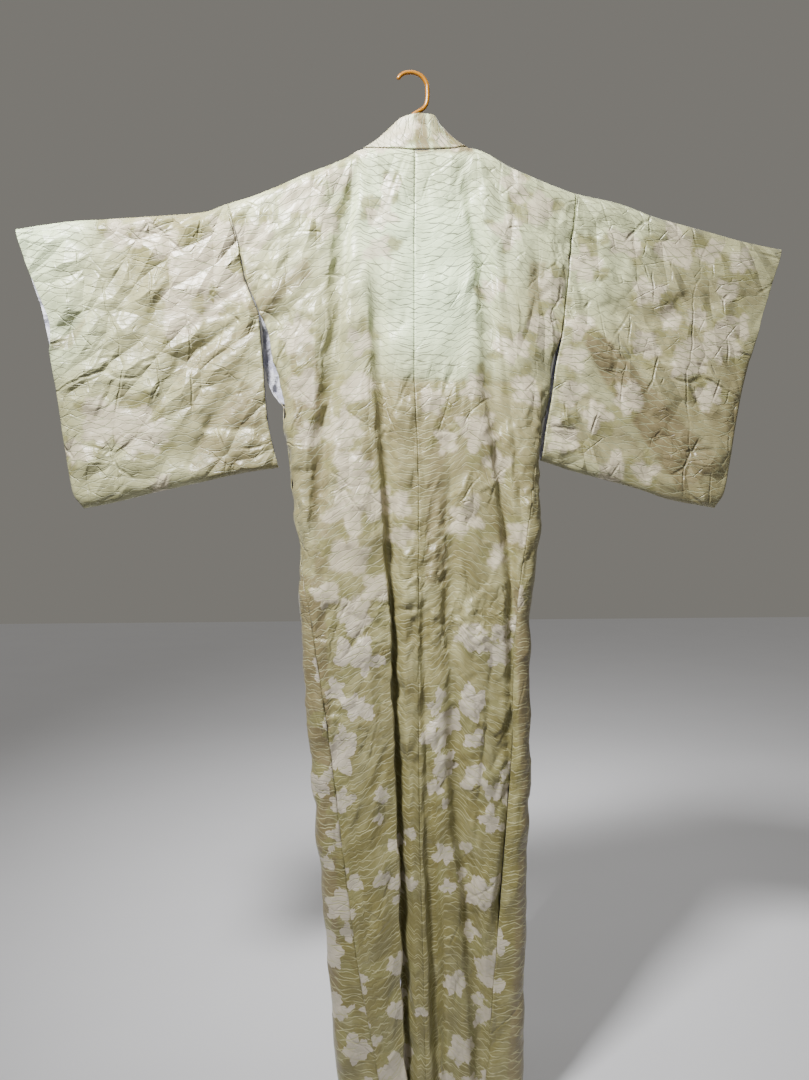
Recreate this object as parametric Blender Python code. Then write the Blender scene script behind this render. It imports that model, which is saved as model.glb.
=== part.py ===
"""A kimono robe hung up by a plastic clothes hanger, with its back to the viewer.

The robe is made as it is sewn: two back panels joined by a centre seam, two front panels, two overlap panels,
two sleeves that are each one cloth folded over at the top, and a collar band round the neck and down both fronts.
Back and front panels are one length of cloth on the real robe. They only part along the shoulder fold, at the
tuck that is sewn at the hip, and at the knee.
Left and right are the wearer's: seen from the back, the left sleeve is at -X.

Frame: the origin is where the hook bears on its nail, +X to the right as seen from the back, +Y to the wall
and +Z up. Every length in the tables is in millimetres and becomes metres in make_object.
"""

import bpy
import numpy as np

# Driving sizes of the robe and its hanger, in millimetres.
MILLIMETRE = 0.001
CLOTH = 1.5  # wall of the cloth with its lining
BAND = 3.0  # the collar is folded double
SEAM_GAP = 0.3
ROBE_DEPTH = 30.0  # how far the back stands out from the shoulder fold's plane
NECK_DEPTH = 27.0
NECK_HALF = 93.0
NECK_MIDDLE = 7.0
FOLD_DEPTH = 28.0  # how far below a fold the cloth has opened out
HEM = -1815.0
COLLAR_WIDTH = 66.0
COLLAR_END = -930.0
OVER_COLLAR_END = -535.0
SLEEVE_HALF = 14.0  # half of a sleeve's depth where it is sewn on
SLEEVE_EDGE = 26.0  # how far from a sewn edge a sleeve has opened out
LEFT_FRONT = 21.0  # the left front lies outside, nearest the wall
RIGHT_FRONT = 12.0
OPENING_END = -592.0  # the side seams start here, below the openings under the arms
KNEE = -1215.0  # each long panel parts here and at the hip tuck, level with the side seams' upper ends
COLLAR_PROUD = 0.8
TUBE_RADIUS = 4.5
HOOK_RADIUS = 3.75
ARM_REACH = 205.0
RISE_FADE = 340.0  # the slope of the shoulder is gone this far below it


def table(columns, rows):
    """A table with named columns, as one array for each name."""
    return dict(zip(columns.split(), np.array(rows, float).T))


# The top line of the whole robe, from the left cuff over the shoulders and the neck seam to the right cuff.
TOP = table(
    "x z",
    [
        (-671, -296),
        (-585, -280),
        (-514, -273),
        (-424, -264),
        (-359, -256),
        (-318, -240),
        (-272, -225),
        (-184, -186),
        (-116, -156),
        (-86, -139),
        (-55, -142),
        (4, -145),
        (69, -138),
        (100, -129),
        (188, -165),
        (279, -196),
        (296, -200),
        (377, -215),
        (441, -236),
        (542, -260),
        (622, -278),
        (683, -288),
    ],
)

# The robe's side edges, side seams and centre seam by height. Above the armpits the edge is the sleeve seam.
BODY = table(
    "z left_edge left_seam centre right_seam right_edge",
    [
        (-145, -325, -325, 4, 299, 299),
        (-200, -322, -322, 4, 296, 296),
        (-240, -318, -318, 4, 292, 292),
        (-302, -302, -302, 3, 286, 286),
        (-371, -289, -289, 3, 279, 279),
        (-430, -265, -265, 3, 272, 272),
        (-465, -250, -250, 3, 264, 264),
        (-517, -240, -240, 3, 252, 252),
        (-581, -225, -225, 5, 242, 242),
        (-617, -221, -221, 7, 233, 236),
        (-672, -215, -215, 10, 221, 228),
        (-767, -204, -204, 11, 208, 231),
        (-850, -196, -196, 11, 196, 226),
        (-937, -194, -178, 11, 184, 217),
        (-1031, -187, -164, 11, 177, 212),
        (-1145, -181, -147, 11, 176, 213),
        (-1368, -162, -119, 14, 161, 210),
        (-1551, -148, -95, 19, 146, 204),
        (-1665, -137, -74, 21, 137, 201),
        (-1815, -128, -47, 24, 127, 199),
    ],
)

# How far the body stands out at its side edges, and over what width it reaches its full depth.
SIDE = table(
    "z edge radius",
    [
        (-145, 14, 140),
        (-430, 14, 130),
        (-500, 10, 80),
        (-560, 5, 50),
        (-592, 0, 36),
        (-700, 0, 32),
        (-1815, 0, 28),
    ],
)

# The left front's edge stands out past the back's in the opening under the arm, and shows its lining.
PEEK = table("z out", [(-432, 0), (-446, 3), (-470, 10), (-500, 13), (-535, 16), (-556, 18), (-570, 13), (-592, 0)])

# The line where the collar is sewn to each front, and the seam between front and overlap panel.
FRONT = table(
    "z left_collar left_overlap right_collar right_overlap",
    [
        (-129, -88, -30, 102, 44),
        (-155, -82, -30, 98, 44),
        (-200, -74, -29, 90, 43),
        (-270, -62, -28, 77, 42),
        (-370, -40, -26, 55, 41),
        (-418, -27.6, -26, 45.5, 40.6),
        (-430, -23.6, -25.4, 42.5, 40.6),
        (-441, -21, -24.9, 38.6, 40.5),
        (-500, -8, -22, 24, 40),
        (-700, 42, -14, -22, 38),
        (-930, 92, -4, -64, 36),
        (-1815, 92, 22, -64, 38),
    ],
)
FRONT_EDGE = table("z left right", [(-900, 158, -128), (-1300, 164, -116), (-1815, 168, -100)])

# The long folds of the back, top to bottom. Depth is into the robe, so a ridge has a negative one.
FOLDS = {
    "left_long": (
        0.0,
        table(
            "z x half_width depth",
            [
                (-170, -94, 8, 0),
                (-250, -112, 11, 6),
                (-328, -125, 12, 8),
                (-480, -133, 14, 9),
                (-577, -140, 16, 10),
                (-634, -155, 16, 9),
                (-785, -166, 14, 6),
                (-850, -180, 12, 0),
            ],
        ),
    ),
    "right_long": (
        0.15,
        table(
            "z x half_width depth",
            [
                (-160, 96, 8, 0),
                (-234, 104, 11, 6),
                (-286, 118, 12, 9),
                (-356, 130, 14, 10),
                (-566, 137, 13, 8),
                (-640, 152, 12, 9),
                (-757, 161, 11, 11),
                (-830, 168, 10, 12),
                (-970, 174, 9, 10),
                (-1180, 172, 9, 8),
                (-1321, 165, 9, 9),
                (-1410, 157, 9, 8),
                (-1560, 141, 9, 0),
            ],
        ),
    ),
    "centre_pleat": (
        -0.3,
        table(
            "z x half_width depth",
            [
                (-300, -60, 10, 0),
                (-396, -61, 13, 5),
                (-465, -57, 13, 8),
                (-570, -52, 13, 12),
                (-716, -41, 12, 17),
                (-857, -33, 10, 23),
                (-998, -26, 8, 28),
                (-1104, -24, 7, 31),
                (-1315, -15, 7, 32),
                (-1600, -6, 7, 32),
                (-1815, 2, 7, 32),
            ],
        ),
    ),
    "centre_right": (
        0.0,
        table(
            "z x half_width depth",
            [
                (-690, 54, 12, 0),
                (-782, 30, 11, 6),
                (-891, 22, 9, 6),
                (-1050, 24, 8, 6),
                (-1211, 28, 8, 9),
                (-1434, 37, 9, 14),
                (-1581, 45, 10, 17),
                (-1815, 47, 10, 18),
            ],
        ),
    ),
    "right_middle": (
        0.0,
        table(
            "z x half_width depth",
            [
                (-690, 62, 14, 0),
                (-832, 64, 15, 7),
                (-1105, 73, 15, 10),
                (-1318, 82, 14, 12),
                (-1392, 96, 14, 13),
                (-1584, 107, 14, 14),
                (-1815, 124, 14, 14),
            ],
        ),
    ),
    "left_swell": (
        0.0,
        table(
            "z x half_width depth",
            [(-560, -95, 36, 0), (-800, -100, 38, -5), (-1100, -90, 36, -6), (-1400, -70, 32, -6), (-1815, -42, 26, -5)],
        ),
    ),
    "right_swell": (
        0.0,
        table(
            "z x half_width depth",
            [(-900, 120, 24, 0), (-1100, 122, 24, -4), (-1400, 128, 20, -5), (-1815, 84, 16, -4)],
        ),
    ),
}

# Each sleeve's outline: its sewn and open inner edge, its outer edge and its bottom edge, from the top or inside.
LEFT_SLEEVE = {
    "armhole": ((-240, -430), "left_edge"),
    "open_edge": table("x z", [(-261, -481), (-257, -526), (-254, -570), (-250, -614), (-241, -658), (-231, -696)]),
    "cuff": table("x z", [(-671, -296), (-652, -368), (-631, -437), (-617, -506)]),
    "outer": table("x z", [(-617, -506), (-604, -580), (-594, -650), (-583, -718), (-577, -745), (-560, -768)]),
    "bottom": table("x z", [(-231, -696), (-289, -705), (-351, -719), (-445, -741), (-510, -758), (-560, -768)]),
    "cuff_inset": table("z inset", [(-296, 0), (-360, 4), (-410, 9), (-455, 13), (-484, 8), (-506, 0)]),
    "side": -1,
    "cuff_half": 12.5,  # half of its depth at the cuff
    "cuff_rise": 24.0,  # how far above its sewn end the cuff has opened out
}
RIGHT_SLEEVE = {
    "armhole": ((-200, -425), "right_edge"),
    "open_edge": table("x z", [(266, -470), (257, -519), (250, -564), (241, -617), (232, -679)]),
    "cuff": table("x z", [(683, -288), (664, -352), (643, -424), (622, -495)]),
    "outer": table("x z", [(622, -495), (607, -554), (595, -620), (584, -686), (574, -736), (556, -763)]),
    "bottom": table("x z", [(232, -679), (281, -695), (350, -713), (415, -730), (470, -748), (556, -763)]),
    "cuff_inset": table("z inset", [(-288, 0), (-400, 3), (-495, 0)]),
    "side": 1,
    "cuff_half": 9.0,
    "cuff_rise": 60.0,
}

# The widest creases of the sleeves' visible side: both ends, half width and depth into the sleeve.
SLEEVE_CREASES = table(
    "x1 z1 x2 z2 half_width depth",
    [
        (-366, -440, -200, -300, 15, 5),
        (-440, -560, -296, -440, 15, 6),
        (-618, -500, -540, -440, 14, 5),
        (-505, -590, -432, -602, 15, 5),
        (-361, -634, -258, -634, 14, 4),
        (-640, -392, -500, -482, 16, -4),
        (-300, -545, -385, -700, 16, 4),
        (272, -430, 360, -480, 15, -5),
        (345, -470, 420, -556, 15, -5),
        (410, -545, 592, -676, 15, -5),
        (280, -432, 330, -560, 14, -4),
        (330, -560, 496, -748, 14, -4),
        (365, -408, 440, -432, 14, 5),
        (440, -432, 510, -385, 14, 4),
        (480, -384, 640, -398, 15, 4),
    ],
)

# The collar's folded edge round the neck, by the distance along its seam from the centre back.
LEFT_NECK = table(
    "run x y z",
    [
        (0, 10, -13, -76),
        (34, -14, -9, -82),
        (66, -34, 0, -96),
        (98, -46, 12, -106),
        (125, -38, 24, -120),
        (160, -22, 27, -150),
        (215, -8, 24, -195),
    ],
)
RIGHT_NECK = table(
    "run x y z",
    [
        (0, 10, -13, -76),
        (34, 36, -8, -75),
        (66, 50, 0, -88),
        (100, 64, 10, -98),
        (128, 60, 16, -113),
        (165, 44, 17, -140),
        (220, 32, 15, -185),
    ],
)

HOOK = table(
    "x z",
    [
        (-25, -15),
        (-19, -3.5),
        (-9, 2.4),
        (2, 3.75),
        (14, 0.6),
        (24, -8),
        (29, -20),
        (29.5, -35),
        (28, -49),
        (21, -60),
        (11, -66),
        (4, -72),
        (3, -84),
        (3, -134),
    ],
)

# Rows down the body and across the panels. The upper rows are shares of the way from shoulder to armpit.
ARMHOLE_SHARES = np.array([0, 0.01, 0.035, 0.09, 0.18, 0.31, 0.48, 0.7, 1.0])
LOWER_ROWS = np.array(
    [-436, -446, -470, -500, -535, -570, -592, -625, -665, -715, -767, -820, -875, -931, -933, -990, -1045]
    + [-1100, -1155, -1215, -1290, -1368, -1450, -1540, -1630, -1720, HEM],
    float,
)
BACK_COLUMNS = 15
FRONT_COLUMNS = 10
OVERLAP_COLUMNS = 5
PATH_POINTS = 240
SLEEVE_ACROSS = np.array([0, 0.08, 0.16, 0.24, 0.32, 0.4, 0.48, 0.56, 0.64, 0.72, 0.8, 0.88, 0.94, 0.98, 1])
CUFF_ROW = len(ARMHOLE_SHARES) - 1
OPEN_SHARES = np.array([0.12, 0.25, 0.39, 0.53, 0.67, 0.8, 0.9, 0.965, 1.0])


def smooth(at, places, values):
    """The height of a smooth curve through a short table, with slopes that never overshoot its points."""
    places = np.asarray(places, float)
    values = np.asarray(values, float)
    if places[0] > places[-1]:
        places, values = places[::-1], values[::-1]
    step = np.diff(places)
    rise = np.diff(values) / step
    slope = np.zeros_like(values)
    before, after = rise[:-1], rise[1:]
    same_way = before * after > 0
    slope[1:-1][same_way] = 2 * before[same_way] * after[same_way] / (before + after)[same_way]
    slope[0], slope[-1] = rise[0], rise[-1]
    at = np.clip(at, places[0], places[-1])
    k = np.clip(np.searchsorted(places, at, side="right") - 1, 0, len(step) - 1)
    t = (at - places[k]) / step[k]
    start = (1 + 2 * t) * (1 - t) ** 2 * values[k] + t * (1 - t) ** 2 * step[k] * slope[k]
    end = t**2 * (3 - 2 * t) * values[k + 1] - t**2 * (1 - t) * step[k] * slope[k + 1]
    return start + end


def quarter_round(share):
    """A quarter circle's rise: 0 at a fold, 1 once the cloth has opened out."""
    return np.sqrt(1 - (1 - np.clip(share, 0, 1)) ** 2)


def top_line(x):
    return smooth(x, TOP["x"], TOP["z"])


def body(column, z):
    return smooth(z, BODY["z"], BODY[column])


def fold_shift(x, z):
    """How far the long folds move a point of the back sideways and inwards."""
    sideways = np.zeros(np.broadcast(x, z).shape)
    inwards = np.zeros_like(sideways)
    for lean, fold in FOLDS.values():
        middle = smooth(z, fold["z"], fold["x"])
        half = smooth(z, fold["z"], fold["half_width"])
        depth = smooth(z, fold["z"], fold["depth"])
        depth = np.where((z > fold["z"][0]) & (fold["depth"][0] == 0), 0, depth)
        depth = np.where((z < fold["z"][-1]) & (fold["depth"][-1] == 0), 0, depth)
        share = depth * np.exp(-np.abs((x - middle) / half) ** 2.6)
        inwards += share
        sideways += lean * share
    return sideways, inwards


def edge_share(x, z, edge):
    """Depth at the side edge, and the share of the way from it to the full depth."""
    at_edge = smooth(z, SIDE["z"], SIDE["edge"])
    share = np.clip(np.abs(x - edge) / smooth(z, SIDE["z"], SIDE["radius"]), 0, 1)
    joined = at_edge / SIDE["edge"][0]
    return at_edge, joined * share * (2 - share) + (1 - joined) * quarter_round(share)


def back_surface(x, z, edge):
    """The back's outer face: (x, y) of the cloth whose flat place is x, z, with its side edge at edge."""
    below = top_line(x) - z
    opened = quarter_round(below / FOLD_DEPTH)
    at_edge, share = edge_share(x, z, edge)
    full = at_edge + (ROBE_DEPTH - at_edge) * share
    neck = NECK_DEPTH * np.sqrt(np.clip(1 - ((x - NECK_MIDDLE) / NECK_HALF) ** 2, 0, 1))
    out = np.maximum(neck + (full - neck) * opened, SEAM_GAP / 2)
    sideways, inwards = fold_shift(x, z)
    held = opened * share
    return x + sideways * held, -out + inwards * held


def front_surface(x, z, edge, depth):
    """The outer face of a front, on the wall side, with a few soft hanging waves."""
    below = top_line(np.where(edge < 0, np.minimum(x, -90), np.maximum(x, 104))) - z
    opened = quarter_round(below / FOLD_DEPTH)
    at_edge, share = edge_share(x, z, edge)
    full = at_edge + (depth - at_edge) * share
    hang = np.clip((-430 - z) / 500, 0, 1)
    wave = 2.2 * hang * share * np.sin(x / 13.0 + z / 400.0)
    return np.maximum(full * opened, SEAM_GAP / 2) + wave


def slope_of(path):
    """Unit tangents along a path of points."""
    tangent = np.gradient(path, axis=0)
    return tangent / np.linalg.norm(tangent, axis=1, keepdims=True)


def resample(path, count):
    """Points spread along a path, closer together where it bends."""
    step = np.linalg.norm(np.diff(path, axis=0), axis=1)
    if step.sum() < 0.01:
        return np.repeat(path[:1], count, axis=0)
    path = path[np.concatenate([[True], step > 1e-6])]
    step = np.linalg.norm(np.diff(path, axis=0), axis=1)
    turn = np.linalg.norm(np.diff(slope_of(path), axis=0), axis=1)
    length = np.concatenate([[0], np.cumsum(step)])
    weight = np.concatenate([[0], np.cumsum(step + 14.0 * turn)])
    at = np.interp(np.linspace(0, weight[-1], count), weight, length)
    return np.stack([np.interp(at, length, path[:, k]) for k in range(3)], axis=1)


def side_rows(side):
    """Nominal heights of the body's rows on one side, from the shoulder to the hem."""
    top, armpit = LEFT_SLEEVE["armhole"][0] if side < 0 else RIGHT_SLEEVE["armhole"][0]
    return np.concatenate([top + (armpit - top) * ARMHOLE_SHARES, LOWER_ROWS])


def shoulder_rise(side, x, row):
    """How much higher than its row the sloping shoulder lifts a point."""
    top = side_rows(side)[0]
    fade = np.clip(1 - (top - row) / RISE_FADE, 0, 1) ** 2
    return (top_line(x) - top) * fade


def back_row(side, row):
    """One row of the back's path from the centre seam to the side edge, and how far along the side seam lies."""
    name = "left" if side < 0 else "right"
    centre = body("centre", row + shoulder_rise(side, NECK_MIDDLE, row))
    edge = body(name + "_edge", row)
    share = np.sin(np.linspace(0, 0.5 * np.pi, PATH_POINTS))
    x = centre + (edge - centre) * share
    z = row + shoulder_rise(side, x, row)
    moved, y = back_surface(x, z, edge)
    cut = np.searchsorted(share, (body(name + "_seam", row) - centre) / (edge - centre) - 0.001)
    return np.stack([moved, y, z], axis=1), min(cut, PATH_POINTS - 1)


def front_line(column, z):
    return smooth(z, FRONT["z"], FRONT[column])


def front_reach(side, row, column):
    """Where a row of a front meets the collar seam or the overlap seam, with the shoulder's slope."""
    x = front_line(column, row)
    for _ in range(12):
        ridge_x = np.minimum(x, -86) if side < 0 else np.maximum(x, 100)
        x = front_line(column, row + shoulder_rise(side, ridge_x, row))
    return x


def front_row(side, row, start, end):
    """One row of a front's outer face between two places."""
    name = "left" if side < 0 else "right"
    depth = LEFT_FRONT if side < 0 else RIGHT_FRONT
    edge = body(name + "_edge", row)
    if side < 0:
        edge = edge - smooth(row, PEEK["z"], PEEK["out"])
    start = edge if start is None else start
    x = start + (end - start) * (1 - np.cos(np.linspace(0, 0.5 * np.pi, PATH_POINTS)))
    ridge_x = np.minimum(x, -86) if side < 0 else np.maximum(x, 100)
    z = row + shoulder_rise(side, ridge_x, row)
    return np.stack([x, front_surface(x, z, edge, depth), z], axis=1)


def half_body(side):
    """One side of the body: the back's grid from the centre seam, and the front's and overlap's from the side seam."""
    name = "left" if side < 0 else "right"
    backs, fronts = [], []
    for row in side_rows(side):
        back, cut = back_row(side, row)
        collar = front_reach(side, row, name + "_collar")
        overlap = front_reach(side, row, name + "_overlap")
        seam = min(collar, overlap) if side < 0 else max(collar, overlap)
        end = collar if row > COLLAR_END - 2 else smooth(row, FRONT_EDGE["z"], FRONT_EDGE[name])
        end = max(end, seam) if side < 0 else min(end, seam)
        front = front_row(side, row, None, seam)
        if row <= OPENING_END:
            front = np.concatenate([back[cut:], front])
        backs.append(resample(back[: cut + 1], BACK_COLUMNS))
        pieces = [resample(front, FRONT_COLUMNS), resample(front_row(side, row, seam, end), OVERLAP_COLUMNS)[1:]]
        fronts.append(np.concatenate(pieces))
    return np.stack(backs), np.stack(fronts)


def split_grid(index, points):
    """Triangles of a grid of point numbers, each quad cut along its shorter diagonal."""
    a, b, c, d = (g.ravel() for g in (index[:-1, :-1], index[:-1, 1:], index[1:, 1:], index[1:, :-1]))
    first = np.linalg.norm(points[a] - points[c], axis=1) <= np.linalg.norm(points[b] - points[d], axis=1)
    one = np.where(first[:, None], np.stack([a, b, c], axis=1), np.stack([a, b, d], axis=1))
    two = np.where(first[:, None], np.stack([a, c, d], axis=1), np.stack([b, c, d], axis=1))
    return np.concatenate([one, two])


def inner_sheet(points, triangles, outward, thickness, seams):
    """The same points moved in by the cloth's thickness, square to the cloth and within each seam's plane."""
    a, b, c = (points[triangles[:, k]] for k in range(3))
    cross = np.cross(b - a, c - a) * outward
    area = np.linalg.norm(cross, axis=1)
    normals = np.zeros_like(points)
    for corner in range(3):
        np.add.at(normals, triangles[:, corner], cross)
    for ring, axis, kept in seams:
        normals[ring, axis] *= kept
    normals /= np.maximum(np.linalg.norm(normals, axis=1, keepdims=True), 1e-9)
    facing = np.zeros(len(points))
    total = np.full(len(points), 1e-9)
    for corner in range(3):
        at = triangles[:, corner]
        np.add.at(facing, at, np.einsum("ij,ij->i", cross, normals[at]))
        np.add.at(total, at, area)
    return points - normals * (thickness / np.clip(facing / total, 0.4, 1.0))[:, None]


def make_object(name, points, triangles, material):
    """One named object from points in millimetres, with its faces turned outwards."""
    a, b, c = (points[triangles[:, k]] for k in range(3))
    if np.einsum("ij,ij->i", a, np.cross(b, c)).sum() < 0:
        triangles = triangles[:, ::-1]
    mesh = bpy.data.meshes.new(name)
    mesh.from_pydata((points * MILLIMETRE).tolist(), [], triangles.tolist())
    mesh.shade_smooth()
    mesh.set_sharp_from_angle(angle=0.9)
    mesh.materials.append(material)
    thing = bpy.data.objects.new(name, mesh)
    bpy.context.scene.collection.objects.link(thing)
    return thing


def rim(loop, count):
    """Triangles that close the edge between an outer sheet and its inner one, round a loop of points."""
    after = np.roll(loop, -1)
    return np.concatenate([np.stack([after, loop, loop + count], 1), np.stack([after, loop + count, after + count], 1)])


def make_wall(name, outer, inner, material):
    """A cloth wall: an outer grid, the same grid moved in by the cloth's thickness, and rims round the edge."""
    rows, columns = outer.shape[:2]
    count = rows * columns
    index = np.arange(count).reshape(rows, columns)
    sheet = split_grid(index, outer.reshape(-1, 3))
    border = np.concatenate([index[0, :-1], index[:-1, -1], index[-1, :0:-1], index[:0:-1, 0]])
    triangles = np.concatenate([sheet, sheet[:, ::-1] + count, rim(border, count)])
    return make_object(name, np.concatenate([outer.reshape(-1, 3), inner.reshape(-1, 3)]), triangles, material)


def thicken(grid, outward, thickness, seams=()):
    """The inner grid of a wall. Seams are parts of the grid, with an axis and the share of it that is kept."""
    index = np.arange(grid[..., 0].size).reshape(grid.shape[:2])
    rings = [(index[part].ravel(), axis, kept) for part, axis, kept in seams]
    points = grid.reshape(-1, 3)
    return inner_sheet(points, split_grid(index, points), outward, thickness, rings).reshape(grid.shape)


def cut_seam(pair, column, way, along=None):
    """Both sheets' edge column moved back by half a seam gap along the cloth."""
    if along is None:
        along = pair[0][:, column + way] - pair[0][:, column]
    along = along * SEAM_GAP / 2 / np.linalg.norm(along, axis=-1, keepdims=True)
    for grid in pair:
        grid[:, column] += along


def make_lengths(name, heights, pair, material):
    """One long panel as its three lengths, with a seam's gap between one and the next."""
    for part, high, low in (("upper", 0.0, OPENING_END), ("middle", OPENING_END, KNEE), ("skirt", KNEE, HEM)):
        rows = (heights <= high) & (heights >= low)
        walls = [grid[rows].copy() for grid in pair]
        for wall in walls:
            if high < 0:
                wall[0, :, 2] -= SEAM_GAP / 2
            if low > HEM:
                wall[-1, :, 2] += SEAM_GAP / 2
        make_wall(f"{name}_{part}", *walls, material)


def make_half_body(side, cloth, lining):
    """The back, front and overlap panel of one side, cut from one shell at their seams."""
    name = "left" if side < 0 else "right"
    back, front = half_body(side)
    neck_point = int(np.argmin(np.abs(back[0, :, 0] - front[0, -1, 0])))
    back[0, neck_point] = front[0, -1] * [1, -1, 1]
    back[0, :, 2] -= SEAM_GAP / 2
    front[0, :, 2] -= SEAM_GAP / 2
    back_index = np.arange(back[..., 0].size).reshape(back.shape[:2])
    front_index = back_index.size + np.arange(front[..., 0].size).reshape(front.shape[:2])
    sewn = side_rows(side) <= OPENING_END
    front_index[sewn, 0] = back_index[sewn, -1]
    points = np.concatenate([back.reshape(-1, 3), front.reshape(-1, 3)])
    triangles = np.concatenate([split_grid(back_index, points), split_grid(front_index, points)])
    folded = int(np.argmax(np.abs(back[0, :, 1]) < 1.0))
    rows = slice(0, len(ARMHOLE_SHARES))
    seams = [(back_index[0, folded:], 1, 0), (front_index[0], 1, 0), (back_index[:, 0], 0, 0)]
    seams += [(back_index[rows, -1], 0, 0), (front_index[rows, 0], 0, 0)]
    inner = inner_sheet(points, triangles, -side, CLOTH, seams)
    centre = np.array([float(side), 0.0, 0.0])
    pair = [points[back_index], inner[back_index]]
    cut_seam(pair, 0, 1, centre)
    cut_seam(pair, -1, -1)
    heights = side_rows(side)
    make_lengths("back_" + name, heights, pair, cloth)
    pair = [points[front_index[:, :FRONT_COLUMNS]], inner[front_index[:, :FRONT_COLUMNS]]]
    cut_seam(pair, 0, 1)
    cut_seam(pair, -1, -1)
    make_lengths("front_" + name, heights, pair, cloth)
    if side < 0:
        make_lining(pair[1], lining)
    wide = np.abs(front[:, -1, 0] - front[:, FRONT_COLUMNS - 1, 0]) > 1.0
    below = front_index[wide, FRONT_COLUMNS - 1 :]
    pair = [points[below], inner[below]]
    cut_seam(pair, 0, 1)
    cut_seam(pair, -1, -1)
    make_wall("overlap_" + name, *pair, cloth)
    return points[back_index], points[front_index]


def make_lining(front_inner, material):
    """The front's pale lining where it shows beside the back panel, in the opening under the left arm."""
    heights = side_rows(-1)
    grid = front_inner[(heights < -440) & (heights > OPENING_END), :6]
    inward = np.array([0.0, -1.0, 0.0])
    outer = grid + inward * SEAM_GAP * 1.5
    crumple = 1.2 + 0.8 * np.sin(np.arange(grid[..., 0].size).reshape(grid.shape[:2]) * 2.4)
    return make_wall("lining_left", outer, outer + inward * crumple[..., None], material)


def collar_half(side, grids):
    """Sewn edge and folded edge of the collar, from the centre back to its end on the front, row by row."""
    name = "left" if side < 0 else "right"
    back, front = grids
    around = back[0, : int(np.argmin(np.abs(back[0, :, 0] - front[0, -1, 0])))]
    heights = side_rows(side)
    rows = heights > COLLAR_END - 2
    rows[1:3] = False
    down = front[rows, -1]
    sewn = np.concatenate([around, down])
    gap = np.concatenate([np.tile([0.0, 0.0, 1.0], (len(around), 1)), np.zeros((len(down), 3))])
    slope = slope_of(down)
    across = np.stack([-slope[:, 2], np.zeros(len(down)), slope[:, 0]], axis=1) * -side
    gap[len(around) :] = across / np.linalg.norm(across, axis=1, keepdims=True)
    folded = sewn + gap * COLLAR_WIDTH
    depth = LEFT_FRONT if side < 0 else RIGHT_FRONT
    edge = body(name + "_edge", folded[:, 2])
    folded[:, 1] = front_surface(folded[:, 0], folded[:, 2], edge, depth) + COLLAR_PROUD
    run = np.concatenate([[0], np.cumsum(np.linalg.norm(np.diff(sewn, axis=0), axis=1))])
    neck = LEFT_NECK if side < 0 else RIGHT_NECK
    at_neck = np.stack([smooth(run, neck["run"], neck[k]) for k in "xyz"], axis=1)
    share = np.clip((run - neck["run"][-2]) / (neck["run"][-1] - neck["run"][-2]), 0, 1)[:, None]
    folded = at_neck * (1 - share) + folded * share
    past_neck = np.clip((run[len(around) :] - run[len(around)]) / 40.0, 0, 1)[:, None]
    gap[len(around) :] = gap[len(around) :] * past_neck + [0.0, 0.0, 1.0] * (1 - past_neck)
    near_neck = np.exp(-(((run - run[len(around)]) / 25.0) ** 2))[:, None]
    sewn = sewn + gap * (SEAM_GAP + 1.1 * near_neck)
    sewn[:, 0] -= side * 2.2 * near_neck[:, 0] ** 3
    sewn[len(around) :, 1] += COLLAR_PROUD * past_neck[:, 0]
    return sewn, folded, np.concatenate([np.zeros(len(around)), heights[rows]])


def make_band(name, sewn, folded, outward, material, level):
    """A length of the folded collar, as a wall of its double cloth. Its sewn edge is level at the given stations."""
    share = np.array([0, 0.35, 0.7, 1.0])[None, :, None]
    outer = sewn[:, None] * (1 - share) + folded[:, None] * share
    return make_wall(name, outer, thicken(outer, outward, BAND, [((level, slice(0, 1)), 2, 0.35)]), material)


def make_collar(grids, material):
    """The over-collar round the neck, and the end of the collar below it on each front."""
    halves = {side: collar_half(side, grids[side]) for side in (-1, 1)}
    over = []
    for side in (-1, 1):
        sewn, folded, heights = halves[side]
        keep = heights >= OVER_COLLAR_END
        over.append((sewn[keep], folded[keep]))
        below = heights <= OVER_COLLAR_END + 1
        sewn, folded = sewn[below].copy(), folded[below].copy()
        shift = (sewn[1] - sewn[0]) * SEAM_GAP / np.linalg.norm(sewn[1] - sewn[0])
        sewn[0] += shift
        folded[0] += shift
        make_band("collar_left" if side < 0 else "collar_right", sewn, folded, -side, material, slice(0, 0))
    (left_sewn, left_folded), (right_sewn, right_folded) = over
    sewn = np.concatenate([right_sewn[:0:-1], left_sewn])
    folded = np.concatenate([right_folded[:0:-1], left_folded])
    level = sewn[:, 2] > sewn[:, 2].max() - 22
    make_band("over_collar", sewn, folded, 1, material, level)


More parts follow.
